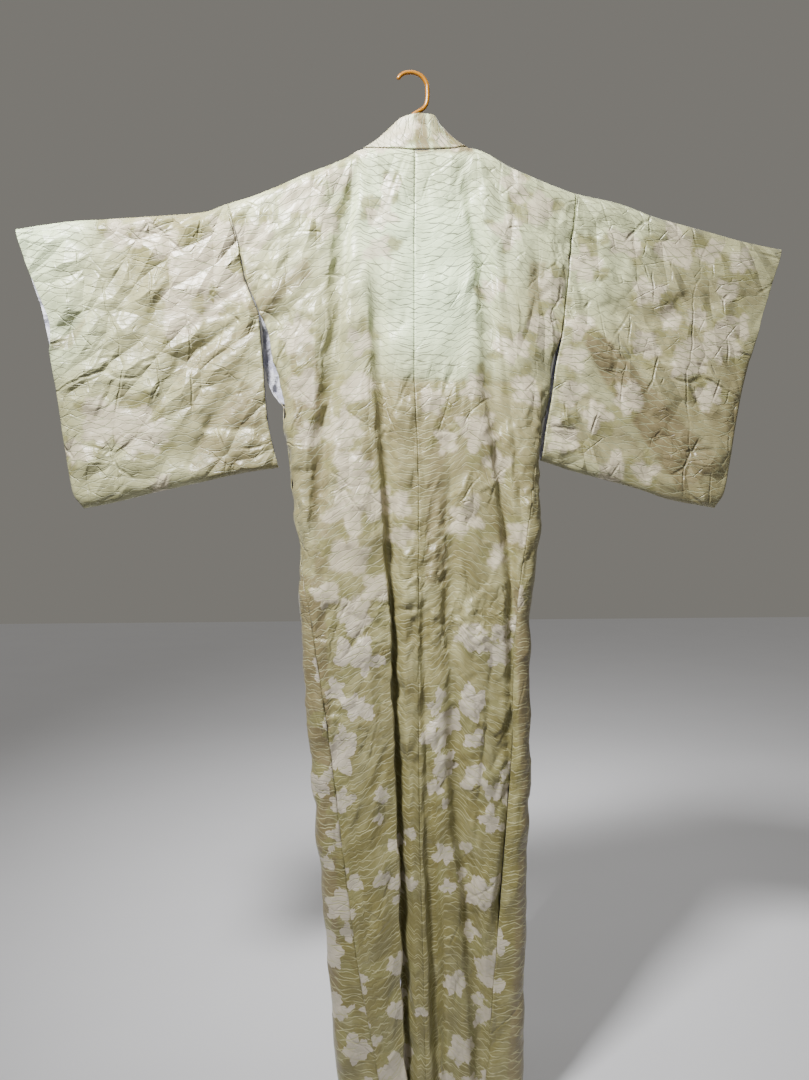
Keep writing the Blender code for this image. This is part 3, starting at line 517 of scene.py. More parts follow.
def back_surface(x, z, edge):
    """The back's outer face: (x, y) of the cloth whose flat place is x, z, with its side edge at edge."""
    below = top_line(x) - z
    opened = quarter_round(below / FOLD_DEPTH)
    at_edge, share = edge_share(x, z, edge)
    full = at_edge + (ROBE_DEPTH - at_edge) * share
    neck = NECK_DEPTH * np.sqrt(np.clip(1 - ((x - NECK_MIDDLE) / NECK_HALF) ** 2, 0, 1))
    out = np.maximum(neck + (full - neck) * opened, SEAM_GAP / 2)
    sideways, inwards = fold_shift(x, z)
    held = opened * share
    return x + sideways * held, -out + inwards * held


def front_surface(x, z, edge, depth):
    """The outer face of a front, on the wall side: a rounded edge and soft hanging waves, a sine across."""
    below = top_line(np.where(edge < 0, np.minimum(x, -90), np.maximum(x, 104))) - z
    opened = quarter_round(below / FOLD_DEPTH)
    at_edge, share = edge_share(x, z, edge)
    full = at_edge + (depth - at_edge) * share
    hang = np.clip((-430 - z) / 500, 0, 1)
    wave = 2.2 * hang * share * np.sin(x / 13.0 + z / 400.0)
    return np.maximum(full * opened, SEAM_GAP / 2) + wave


def slope_of(path):
    """Unit tangents along a path of points."""
    tangent = np.gradient(path, axis=0)
    return tangent / np.maximum(np.linalg.norm(tangent, axis=1, keepdims=True), 1e-9)


def resample(path, count):
    """Points spread along a path, closer together where it bends."""
    step = np.linalg.norm(np.diff(path, axis=0), axis=1)
    if step.sum() < 0.01:
        return np.repeat(path[:1], count, axis=0)
    path = path[np.concatenate([[True], step > 1e-6])]
    step = np.linalg.norm(np.diff(path, axis=0), axis=1)
    turn = np.linalg.norm(np.diff(slope_of(path), axis=0), axis=1)
    length = np.concatenate([[0], np.cumsum(step)])
    weight = np.concatenate([[0], np.cumsum(step + 6.0 * turn)])
    at = np.interp(np.linspace(0, weight[-1], count), weight, length)
    return np.stack([np.interp(at, length, path[:, k]) for k in range(3)], axis=1)


def side_rows(side, step):
    """Nominal heights of the body's rows: evenly round the shoulder fold, and then one step apart to the
    hem."""
    top, armpit = LEFT_SLEEVE["armhole"][0] if side < 0 else RIGHT_SLEEVE["armhole"][0]
    turn = np.linspace(0, 0.5 * np.pi, 9)
    fold = top - FOLD_DEPTH * (1 - np.cos(turn))
    upper = np.linspace(fold[-1], armpit, int((fold[-1] - armpit) / step) + 1)[1:]
    middle = np.linspace(armpit, OPENING_END, int((armpit - OPENING_END) / step) + 1)[1:]
    lower = np.linspace(OPENING_END, HEM, int((OPENING_END - HEM) / step) + 1)[1:]
    return np.concatenate([fold, upper, middle, lower])


def shoulder_rise(side, x, row):
    """How much higher than its row the sloping shoulder lifts a point."""
    top = LEFT_SLEEVE["armhole"][0][0] if side < 0 else RIGHT_SLEEVE["armhole"][0][0]
    fade = np.clip(1 - (top - row) / RISE_FADE, 0, 1) ** 2
    return (top_line(x) - top) * fade


def back_paths(side, rows):
    """The back's paths from the centre seam to the side edge, all rows at once, and where the side seam
    cuts each."""
    name = "left" if side < 0 else "right"
    row = rows[:, None]
    centre = body("centre", row + shoulder_rise(side, NECK_MIDDLE, row))
    edge = body(name + "_edge", row)
    share = np.sin(np.linspace(0, 0.5 * np.pi, PATH_POINTS))
    x = centre + (edge - centre) * share
    z = row + shoulder_rise(side, x, row)
    moved, y = back_surface(x, z, edge)
    cut = np.searchsorted(share, ((body(name + "_seam", row) - centre) / (edge - centre) - 0.001).ravel())
    return np.stack([moved, y, z], axis=2), np.minimum(cut, PATH_POINTS - 1)


def front_line(column, z):
    return smooth(z, FRONT["z"], FRONT[column])


def front_reach(side, row, column):
    """Where the rows of a front meet the collar seam or the overlap seam, with the shoulder's slope."""
    x = front_line(column, row)
    for _ in range(12):
        ridge_x = np.minimum(x, -86) if side < 0 else np.maximum(x, 100)
        x = front_line(column, row + shoulder_rise(side, ridge_x, row))
    return x


def front_paths(side, rows, start, end):
    """The outer face of a front between two places, all rows at once."""
    name = "left" if side < 0 else "right"
    depth = LEFT_FRONT if side < 0 else RIGHT_FRONT
    row = rows[:, None]
    edge = body(name + "_edge", row)
    if side < 0:
        edge = edge - smooth(row, PEEK["z"], PEEK["out"])
    start = edge if start is None else start[:, None]
    x = start + (end[:, None] - start) * (1 - np.cos(np.linspace(0, 0.5 * np.pi, PATH_POINTS)))
    ridge_x = np.minimum(x, -86) if side < 0 else np.maximum(x, 100)
    z = row + shoulder_rise(side, ridge_x, row)
    return np.stack([x, front_surface(x, z, edge, depth), z], axis=2)


def half_body(side, step, columns):
    """One side's grids: the back from the centre seam, the front from the side seam, the overlap from
    its seam."""
    name = "left" if side < 0 else "right"
    rows = side_rows(side, step)
    back, cut = back_paths(side, rows)
    collar = front_reach(side, rows, name + "_collar")
    overlap = front_reach(side, rows, name + "_overlap")
    seam = np.minimum(collar, overlap) if side < 0 else np.maximum(collar, overlap)
    end = np.where(rows > COLLAR_END - 2, collar, smooth(rows, FRONT_EDGE["z"], FRONT_EDGE[name]))
    end = np.maximum(end, seam) if side < 0 else np.minimum(end, seam)
    front = front_paths(side, rows, None, seam)
    extra = front_paths(side, rows, seam, end)
    sewn = rows <= OPENING_END
    wrapped = [np.concatenate([b[c:], f]) if s else f for b, c, f, s in zip(back, cut, front, sewn)]
    backs = np.stack([resample(b[: c + 1], columns[0]) for b, c in zip(back, cut)])
    fronts = np.stack([resample(f, columns[1]) for f in wrapped])
    extras = np.stack([resample(e, columns[2]) for e in extra])
    backs[0, :, 2] -= SEAM_GAP / 2
    fronts[0, :, 2] -= SEAM_GAP / 2
    extras[0, :, 2] -= SEAM_GAP / 2
    return rows, backs, fronts, extras


def grid_normals(grid, outward):
    """Unit normals of a grid from its two tangents, on the side that outward names."""
    down, along = np.gradient(grid, axis=0), np.gradient(grid, axis=1)
    normal = np.cross(down, along)
    normal /= np.maximum(np.linalg.norm(normal, axis=2, keepdims=True), 1e-9)
    return normal * np.sign((normal * outward).sum())


def along_line(creases, x, z):
    """The sum of straight soft creases: depth x exp(-(distance / half width)^2), with both ends faded out."""
    total = np.zeros_like(x)
    for x1, z1, x2, z2, half, depth in zip(*creases.values()):
        run = np.array([x2 - x1, z2 - z1])
        length = np.hypot(*run)
        along = ((x - x1) * run[0] + (z - z1) * run[1]) / length**2
        beside = np.abs((x - x1) * run[1] - (z - z1) * run[0]) / length
        fade = quarter_round(np.clip(along, 0, 1) * 3) * quarter_round((1 - np.clip(along, 0, 1)) * 3)
        past = np.maximum(np.abs(along - 0.5) - 0.5, 0) * length
        total += depth * fade * np.exp(-((beside / half) ** 2) - (past / half) ** 2)
    return total


def beside_path(path, x, z):
    """Distance from each point to a path of a few points, which side it is on, and how far along, 0 to 1."""
    away = np.full(x.shape, 1e9)
    turned = np.zeros(x.shape)
    place = np.zeros(x.shape)
    length = np.concatenate([[0], np.cumsum(np.hypot(*np.diff(path, axis=0).T))])
    for (ax, az), (bx, bz), start in zip(path[:-1], path[1:], length):
        rx, rz = bx - ax, bz - az
        share = np.clip(((x - ax) * rx + (z - az) * rz) / (rx * rx + rz * rz), 0, 1)
        dx, dz = x - ax - share * rx, z - az - share * rz
        distance = np.hypot(dx, dz)
        closer = distance < away
        away = np.where(closer, distance, away)
        turned = np.where(closer, rx * dz - rz * dx, turned)
        place = np.where(closer, start + share * np.hypot(rx, rz), place)
    return away, turned, place / length[-1]


def pressed_in(paths, x, z):
    """The sum of sharp creases: depth x exp(-(distance / reach)^1.3), with one reach on each side of the
    path."""
    total = np.zeros_like(x)
    for left, right, depth, path in paths:
        path = np.asarray(path, float)
        margin = 3.2 * max(left, right)
        low, high = path.min(axis=0) - margin, path.max(axis=0) + margin
        near = (x > low[0]) & (x < high[0]) & (z > low[1]) & (z < high[1])
        if not near.any():
            continue
        away, turned, place = beside_path(path, x[near], z[near])
        fade = quarter_round(np.minimum(place, 1 - place) * 3.5)
        reach = np.where(turned > 0, left, right)
        total[near] += depth * fade * np.exp(-((away / reach) ** 1.3))
    return total


def seeded_creases(seed, count, box, heading, spread, length, reach, depth):
    """Short bent creases scattered over a box by a seeded generator, round one heading in degrees."""
    rng = np.random.default_rng(seed)
    x1, z1, x2, z2 = box
    middle = np.stack([rng.uniform(x1, x2, count), rng.uniform(z1, z2, count)], axis=1)
    turn = np.radians(heading + rng.normal(0, spread, count))
    bend = turn + rng.normal(0, 0.45, count)
    half = rng.uniform(*length, (count, 2)) / 2
    start = middle - np.stack([np.cos(turn), np.sin(turn)], axis=1) * half[:, :1]
    end = middle + np.stack([np.cos(bend), np.sin(bend)], axis=1) * half[:, 1:]
    sides = rng.uniform(*reach, (count, 2))
    deep = rng.uniform(*depth, count) * rng.choice([-1.0, 1.0], count)
    return [(*side, d, path) for side, d, path in zip(sides, deep, np.stack([start, middle, end], axis=1))]


# Crumples pressed into the cloth: where, how many, round which heading, and how long, wide and deep in mm.
CRUMPLES = [
    (11, 170, (-330, -620, 310, -150), 75, 30, (30, 90), (2.5, 9), (0.5, 1.7)),
    (12, 330, (-240, -1300, 250, -560), 82, 34, (24, 90), (2.5, 8), (0.5, 1.7)),
    (13, 190, (-220, -1300, 240, -560), 8, 24, (16, 50), (2.5, 7), (0.4, 1.4)),
    (14, 170, (-200, -1815, 230, -1250), 86, 20, (30, 110), (3, 8), (0.3, 1.1)),
    (15, 170, (-690, -780, -235, -250), 36, 26, (30, 120), (2.5, 9), (0.5, 1.7)),
    (16, 170, (235, -780, 700, -200), -44, 20, (30, 130), (2.5, 9), (0.5, 1.6)),
    (17, 60, (240, -420, 420, -200), -52, 10, (50, 130), (3, 7), (0.6, 1.5)),
    (18, 50, (-320, -440, -120, -200), 48, 10, (50, 130), (3, 7), (0.6, 1.5)),
    (19, 60, (-10, -1030, 66, -780), 52, 10, (16, 36), (2.5, 5), (0.8, 1.8)),
    (20, 60, (-10, -1030, 66, -780), -50, 10, (14, 30), (2.5, 5), (0.6, 1.6)),
]
SWELLS = [(75, 0.3, 0.7), (110, 1.3, 0.9), (62, 2.3, 0.5), (140, 2.8, 1.0)]  # wavelength, heading, depth


def crumple(x, z, shift=0):
    """How far crumples and broad swells move the cloth inwards: pressed-in creases plus sines over x and
    z."""
    total = np.zeros_like(x)
    for seed, *rest in CRUMPLES:
        total += pressed_in(seeded_creases(seed + shift, *rest), x, z)
    for length, heading, depth in SWELLS:
        across = x * np.cos(heading) + z * np.sin(heading)
        bend = 1.3 * np.sin((x * np.sin(heading) - z * np.cos(heading)) / length * 2.1 + shift)
        total += depth * np.sin(across / length * 2 * np.pi + bend)
    return total


# Blossoms of the skirt, where they stand apart, and the larger ones higher up: centre and radius in mm.
BLOSSOMS = table(
    "x z radius",
    [
        (-128, -1398, 17), (-100, -1411, 15), (-55, -1403, 15), (-30, -1412, 14), (-5, -1416, 15),
        (-29, -1442, 11), (-122, -1472, 22), (-132, -1513, 17), (-143, -1541, 19), (-106, -1524, 9),
        (-107, -1578, 29), (-26, -1555, 21), (-134, -1620, 17), (-27, -1630, 19), (15, -1638, 9),
        (-82, -1656, 9), (-108, -1685, 14), (-65, -1680, 11), (-29, -1739, 35), (-110, -1755, 23),
        (61, -1423, 13), (91, -1409, 11), (121, -1437, 30), (147, -1416, 12), (103, -1510, 16),
        (190, -1485, 16), (145, -1567, 36), (182, -1606, 27), (75, -1592, 22), (117, -1628, 13),
        (143, -1650, 20), (119, -1661, 14), (85, -1707, 26), (165, -1712, 20), (99, -1767, 18),
        (137, -1768, 20), (61, -1760, 14), (-104, -1016, 30), (-80, -1030, 24), (-134, -1078, 18),
        (-96, -1108, 26), (-126, -1190, 31), (-118, -1160, 20), (-150, -1254, 11), (-124, -1270, 22),
        (-52, -1261, 15), (-58, -1302, 9), (-28, -1350, 14), (-4, -1332, 12), (48, -1092, 14),
        (104, -1105, 28), (38, -1113, 12), (64, -1138, 25), (40, -1165, 25), (109, -1168, 17),
        (56, -1213, 24), (107, -1233, 23), (135, -1260, 15), (159, -1264, 21), (167, -1228, 13),
        (177, -1278, 12), (194, -1262, 9), (38, -1253, 14), (57, -1277, 10), (135, -1309, 21),
        (156, -1323, 7), (57, -1367, 19), (95, -1360, 11), (-128, -1385, 13), (117, -1000, 22),
        (152, -1018, 26), (97, -985, 22), (155, -985, 18), (194, -972, 24), (-120, -632, 34),
        (-105, -700, 36), (-112, -770, 38), (-66, -755, 30), (-110, -850, 36), (-64, -905, 26),
        (-100, -950, 34), (-148, -915, 24), (-24, -760, 24), (-20, -815, 20), (115, -632, 36),
        (93, -782, 32), (60, -650, 22), (150, -690, 26), (192, -810, 24), (150, -850, 20),
        (-178, -640, 24), (-185, -560, 30), (-200, -468, 30), (-190, -235, 34), (-150, -270, 26),
        (-52, -262, 26), (-60, -320, 24), (-40, -215, 18), (168, -278, 28), (248, -378, 28),
        (236, -450, 32), (176, -485, 28), (35, -580, 24), (-130, -200, 24), (180, -200, 26),
        (225, -240, 28), (-270, -300, 30), (-95, -560, 30), (-90, -480, 22), (140, -380, 20),
        (200, -560, 28), (110, -555, 24), (-362, -360, 52), (-398, -445, 36), (-308, -385, 30),
        (-500, -300, 26), (-508, -622, 34), (-472, -657, 26), (-570, -672, 24), (-540, -640, 22),
        (-470, -620, 30), (-440, -640, 28), (-455, -300, 30), (-420, -320, 30), (-430, -730, 18),
        (-400, -400, 28), (-340, -420, 20), (-330, -300, 28), (-540, -600, 22), (-300, -300, 24),
        (478, -292, 38), (602, -315, 24), (426, -375, 28), (560, -465, 40), (520, -478, 26),
        (495, -505, 28), (390, -568, 30), (576, -370, 22), (272, -640, 30), (362, -695, 28),
        (424, -470, 28), (310, -330, 30), (380, -290, 30), (540, -560, 26), (330, -600, 26),
        (290, -500, 24), (470, -420, 22), (520, -420, 20), (600, -430, 22), (420, -700, 22),
        (285, -560, 26), (545, -300, 24), (300, -440, 24), (-50, -122, 34), (-14, -100, 26),
        (-84, -138, 22), (52, -122, 13), (74, -138, 8),
    ],
)


def wall_side_blossoms():
    """Seeded blossoms for the side that faces the wall: the same sizes, mirrored and moved about."""
    rng = np.random.default_rng(40)
    x = -BLOSSOMS["x"] + rng.uniform(-30, 30, len(BLOSSOMS["x"]))
    z = BLOSSOMS["z"] + rng.uniform(-40, 40, len(BLOSSOMS["x"]))
    return {"x": x, "z": z, "radius": BLOSSOMS["radius"]}


def blossoms(x, z, places):
    """How deep inside a blossom each point lies, in mm, and how near a line between two petals.

    A blossom's outline is radius x (0.64 + 0.44 lobe^0.75), where lobe rises and falls once a petal.
    """
    rng = np.random.default_rng(41)
    inside = np.full_like(x, -60.0)
    petal = np.full_like(x, 20.0)
    for bx, bz, radius in zip(places["x"], places["z"], places["radius"]):
        lobes = rng.integers(4, 7)
        wave = rng.uniform(-0.2, 0.2, 3)
        offset = rng.uniform(0, 6.28, 4)
        near = (np.abs(x - bx) < 2.2 * radius) & (np.abs(z - bz) < 2.2 * radius)
        if not near.any():
            continue
        dx, dz = x[near] - bx, z[near] - bz
        away = np.hypot(dx, dz)
        angle = np.arctan2(dz, dx) + offset[3]
        turn = lobes * (angle + 0.35 * np.sin(angle + offset[0])) / (2 * np.pi)
        scallop = 1 - np.abs((turn % 1) * 2 - 1)
        outline = 0.64 + 0.44 * scallop**0.75
        for k in range(3):
            outline += wave[k] * np.cos((k + 2) * angle + offset[k])
        depth = radius * outline - away
        line = scallop * away * 2 / lobes + 8 * np.maximum(away / radius - 0.75, 0)
        on_top = depth > inside[near]
        inside[near] = np.where(on_top, depth, inside[near])
        petal[near] = np.where(on_top & (depth > -3), line, petal[near])
    return inside, petal


def leaves(x, z, places):
    """How deep inside a leaf each point lies, in mm: half width x (1 - (along / half length)^2) -
    |across|."""
    rng = np.random.default_rng(42)
    inside = np.full_like(x, -60.0)
    for bx, bz, radius in zip(places["x"], places["z"], places["radius"]):
        for _ in range(3):
            heading = rng.uniform(0, 2 * np.pi)
            lean = heading + rng.uniform(-1.1, 1.1)
            half_length = 6 + radius * rng.uniform(0.35, 0.7)
            half_width = half_length * rng.uniform(0.35, 0.6)
            lx, lz = bx + np.cos(heading) * radius * 1.1, bz + np.sin(heading) * radius * 1.1
            near = (np.abs(x - lx) < 1.6 * half_length) & (np.abs(z - lz) < 1.6 * half_length)
            if not near.any():
                continue
            dx, dz = x[near] - lx, z[near] - lz
            along = (dx * np.cos(lean) + dz * np.sin(lean)) / half_length
            across = np.abs(-dx * np.sin(lean) + dz * np.cos(lean))
            inside[near] = np.maximum(inside[near], half_width * (1 - along**2) - across)
    return inside


# How the ground changes over the robe: patches with their reach in mm, and how mint, olive and brown each is.
# Mint and olive are the dyed ground; the brown is partly dyed khaki and partly painted shade, as on the right
# sleeve.
GROUND = table(
    "x z reach mint olive brown",
    [
        (50, -300, 90, 1.0, 0.0, 0.0),
        (40, -400, 70, 1.0, 0.0, 0.0),
        (45, -480, 70, 0.9, 0.0, 0.0),
        (60, -535, 40, 0.7, 0.0, 0.0),
        (-60, -360, 50, 0.5, 0.2, 0.0),
        (-40, -260, 70, 0.8, 0.1, 0.0),
        (10, -180, 60, 0.5, 0.2, 0.1),
        (-200, -250, 100, 0.2, 0.35, 0.1),
        (200, -250, 100, 0.3, 0.4, 0.1),
        (-150, -450, 100, 0.1, 0.5, 0.15),
        (200, -450, 90, 0.1, 0.45, 0.2),
        (50, -570, 80, 0.0, 0.7, 0.55),
        (-120, -700, 110, 0.0, 0.55, 0.4),
        (120, -750, 100, 0.0, 0.75, 0.35),
        (0, -950, 130, 0.0, 0.8, 0.1),
        (-120, -1100, 110, 0.0, 0.75, 0.2),
        (0, -1300, 150, 0.0, 0.95, 0.0),
        (0, -1600, 200, 0.0, 1.0, 0.0),
        (20, -650, 80, 0.0, 0.85, 0.5),
        (-100, -640, 60, 0.0, 0.6, 0.4),
        (-640, -320, 80, 1.0, 0.0, 0.0),
        (-610, -440, 60, 0.8, 0.1, 0.0),
        (-560, -400, 90, 0.15, 0.5, 0.05),
        (-450, -360, 100, 0.0, 0.5, 0.15),
        (-500, -640, 100, 0.1, 0.5, 0.1),
        (-320, -600, 70, 0.0, 0.45, 0.4),
        (-340, -360, 70, 0.0, 0.55, 0.35),
        (340, -330, 80, 0.3, 0.4, 0.05),
        (460, -420, 90, 0.0, 0.5, 0.4),
        (600, -330, 90, 0.1, 0.6, 0.4),
        (520, -620, 100, 0.0, 0.55, 0.5),
        (330, -600, 80, 0.1, 0.45, 0.35),
    ],
)


# Painted shade, in khaki, on facets between sharp creases, in folds, on the collar and on the side strips:
# corner points in mm, clockwise, and how brown each is.
PAINTED_SHADE_FIELDS = [
    (0.7, ((-619, -483), (-590, -472), (-540, -430), (-575, -500), (-612, -503))),
    (0.75, ((-362, -632), (-326, -588), (-296, -545), (-262, -560), (-252, -628), (-300, -634))),
    (0.65, ((-362, -640), (-252, -634), (-262, -690), (-390, -712))),
    (0.6, ((-410, -545), (-400, -512), (-338, -478), (-276, -440), (-262, -470), (-330, -520), (-420, -575))),
    (0.7, ((-300, -420), (-222, -364), (-180, -330), (-170, -372), (-232, -420), (-255, -452))),
    (0.5, ((-500, -560), (-436, -580), (-415, -560), (-420, -610), (-505, -600))),
    (0.8, ((-216, -470), (-172, -470), (-150, -560), (-166, -700), (-205, -640))),
    (0.7, ((-165, -600), (-140, -640), (-142, -860), (-170, -900), (-176, -760))),
    (0.95, ((281, -432), (326, -440), (410, -516), (489, -606), (573, -682), (488, -742), (402, -625), (338,
        -533))),
    (0.5, ((440, -420), (640, -400), (655, -350), (560, -340), (470, -372))),
    (0.7, ((520, -585), (600, -577), (610, -650), (560, -640))),
    (0.6, ((330, -560), (402, -640), (445, -700), (330, -690), (250, -640), (270, -560))),
    (0.7, ((205, -330), (240, -330), (222, -480), (196, -470))),
    (0.95, ((0, -60), (26, -60), (34, -152), (2, -154))),
    (1.0, ((46, -60), (110, -60), (110, -150), (66, -150))),
    (0.8, ((26, -60), (46, -60), (66, -150), (34, -152))),
    (0.7, ((24, -640), (60, -640), (64, -900), (20, -900))),
    (0.9, ((-205, -880), (-150, -880), (-128, -1400), (-120, -1815), (-160, -1815))),
    (0.9, ((176, -900), (222, -900), (214, -1815), (160, -1815), (190, -1300))),
]


def field_share(corners, x, z):
    """How far inside a convex-ish field each point lies, eased over 5 mm: the least distance to its sides."""
    corners = np.asarray(corners, float)
    inside = np.zeros(x.shape, bool)
    away = np.full(x.shape, 1e9)
    for (ax, az), (bx, bz) in zip(corners, np.roll(corners, -1, axis=0)):
        spans = (az > z) != (bz > z)
        with np.errstate(divide="ignore", invalid="ignore"):
            cut = ax + (z - az) * (bx - ax) / (bz - az)
        inside ^= spans & (x < cut)
        share = np.clip(((x - ax) * (bx - ax) + (z - az) * (bz - az)) / ((bx - ax) ** 2 + (bz - az) ** 2),
            0, 1)
        away = np.minimum(away, np.hypot(x - ax - share * (bx - ax), z - az - share * (bz - az)))
    return np.clip(np.where(inside, away, 0) / 5, 0, 1)


def ground_tones(x, z):
    """Mint, olive and brown shares at each point, the brown partly painted shade: the patches' values
    weighted by exp(-(distance / reach)^2)."""
    weight = np.full(x.shape + (len(GROUND["x"]),), 1e-4)
    away = (x[..., None] - GROUND["x"]) ** 2 + (z[..., None] - GROUND["z"]) ** 2
    weight += np.exp(-away / GROUND["reach"] ** 2)
    weight /= weight.sum(axis=-1, keepdims=True)
    return [(weight * GROUND[name]).sum(axis=-1) for name in ("mint", "olive", "brown")]


def set_marks(mesh, marks):
    """Puts one named number for each point on the mesh."""
    for name, values in marks.items():
        mesh.attributes.new(name, "FLOAT", "POINT").data.foreach_set("value",
            values.ravel().astype(np.float32))


def cloth_marks(points, wall_side=False, lean=0.0):
    """The marks at each point: dyed ground tones and painted shade, blossoms, leaves, and how faded their
    edges are.
    """
    x, z = points[..., 0], points[..., 2]
    mint, olive, brown = ground_tones(x, z)
    places = wall_side_blossoms() if wall_side else BLOSSOMS
    inside, petal = blossoms(x, z, places)
    marks = {"mint": mint, "olive": olive, "brown": brown, "blossom": inside, "petal": petal}
    marks["leaf"] = leaves(x, z, places)
    marks["faded"] = np.clip((z + 1040) / 160, 0, 1)
    marks["lean"] = np.full_like(x, lean)
    smooth_back = np.exp(-(((x - 15) / 85) ** 2) - (((z + 340) / 190) ** 2))
    skirt = np.clip((-1080 - z) / 200, 0, 1) * 0.45
    marks["crush"] = (0.62 + 0.38 * lean) * (1 - 0.85 * np.maximum(smooth_back, skirt))
    marks["mint"] = marks["mint"] * np.where(np.abs(x) < 230, np.clip((z + 548) / 8, 0, 1), 1)
    # Painted shade: each shaded field turns the ground brown and takes out its mint.
    for share, corners in PAINTED_SHADE_FIELDS:
        shade_field = share * field_share(corners, x, z)
        marks["brown"] = np.maximum(marks["brown"], shade_field)
        marks["mint"] = marks["mint"] * (1 - shade_field)
    return marks


def grid_faces(index, flip):
    """The quads of a grid of point numbers, turned round when flip is true."""
    quads = np.stack([index[:-1, :-1], index[:-1, 1:], index[1:, 1:], index[1:, :-1]], axis=-1).reshape(-1, 4)
    return quads[:, ::-1] if flip else quads


def cloth_plane(grid):
    """The flat place of each point of the cloth in metres: the run along its row and down its column."""
    across = np.linalg.norm(np.diff(grid, axis=1), axis=2)
    u = np.concatenate([np.zeros((len(grid), 1)), np.cumsum(across, axis=1)], axis=1)
    down = np.linalg.norm(np.diff(grid, axis=0), axis=2)
    v = np.concatenate([np.zeros((1, grid.shape[1])), np.cumsum(down, axis=0)], axis=0)
    return np.stack([u, -v], axis=-1) * MILLIMETRE


def surface_piece(name, points, faces, plane, marks, materials):
    """One object from points in millimetres, quads, flat places for its UV map and the dyer's marks with
    painted shade.
    """
    mesh = bpy.data.meshes.new(name)
    mesh.from_pydata((points * MILLIMETRE).tolist(), [], faces.tolist())
    loops = np.empty(len(mesh.loops), np.int32)
    mesh.loops.foreach_get("vertex_index", loops)
    uv = mesh.uv_layers.new(name="cloth")
    uv.data.foreach_set("uv", plane[loops].ravel().astype(np.float32))
    set_marks(mesh, marks)
    mesh.shade_smooth()
    for material in materials:
        mesh.materials.append(material)
    piece = bpy.data.objects.new(name, mesh)
    bpy.context.scene.collection.objects.link(piece)
    return piece


def thicken(piece, wall):
    """Gives a sheet its wall, inwards, with the lining on its inner side."""
    solid = piece.modifiers.new("wall", "SOLIDIFY")
    solid.thickness = wall
    solid.offset = -1
    solid.use_even_offset = False
    solid.material_offset = 1
    solid.use_rim = True


def sheet_piece(name, grid, outward, wall, wall_side=False):
    """A hanging sheet from one grid: its quads face the way that outward names."""
    rows, columns = grid.shape[:2]
    index = np.arange(rows * columns).reshape(rows, columns)
    a, b, c, d = grid[:-1, :-1], grid[:-1, 1:], grid[1:, 1:], grid[1:, :-1]
    facing = (np.cross(c - a, d - b) * outward).sum()
    faces = grid_faces(index, facing < 0)
    marks = cloth_marks(grid, wall_side)
    marks = {key: value.ravel() for key, value in marks.items()}
    plane = cloth_plane(grid).reshape(-1, 2)
    piece = surface_piece(name, grid.reshape(-1, 3), faces, plane, marks, cloth_materials())
    thicken(piece, wall)
    return piece


def hex_colour(code):
    """A linear colour from an sRGB hex code such as D5DEC9."""
    value = np.array([int(code[k : k + 2], 16) for k in (0, 2, 4)]) / 255
    linear = np.where(value <= 0.04045, value / 12.92, ((value + 0.055) / 1.055) ** 2.4)
    return (*linear.tolist(), 1.0)


def add_node(tree, kind, settings=None, **links):
    """Adds a node, sets its settings, and sets or links its inputs by name or number."""
    node = tree.nodes.new(kind)
    for key, value in (settings or {}).items():
        setattr(node, key, value)
    for key, value in links.items():
        slot = node.inputs[int(key[1:]) if key[0] == "n" and key[1:].isdigit() else key.replace("_", " ")]
        if isinstance(value, bpy.types.NodeSocket):
            tree.links.new(value, slot)
        else:
            slot.default_value = value
    return node


def new_material(name):
    material = bpy.data.materials.new(name)
    material.use_nodes = True
    tree = material.node_tree
    shader = tree.nodes["Principled BSDF"]
    return material, tree, shader


RIPPLE_LENGTH = 0.044  # metres
RIPPLE_HEIGHT = 0.0073


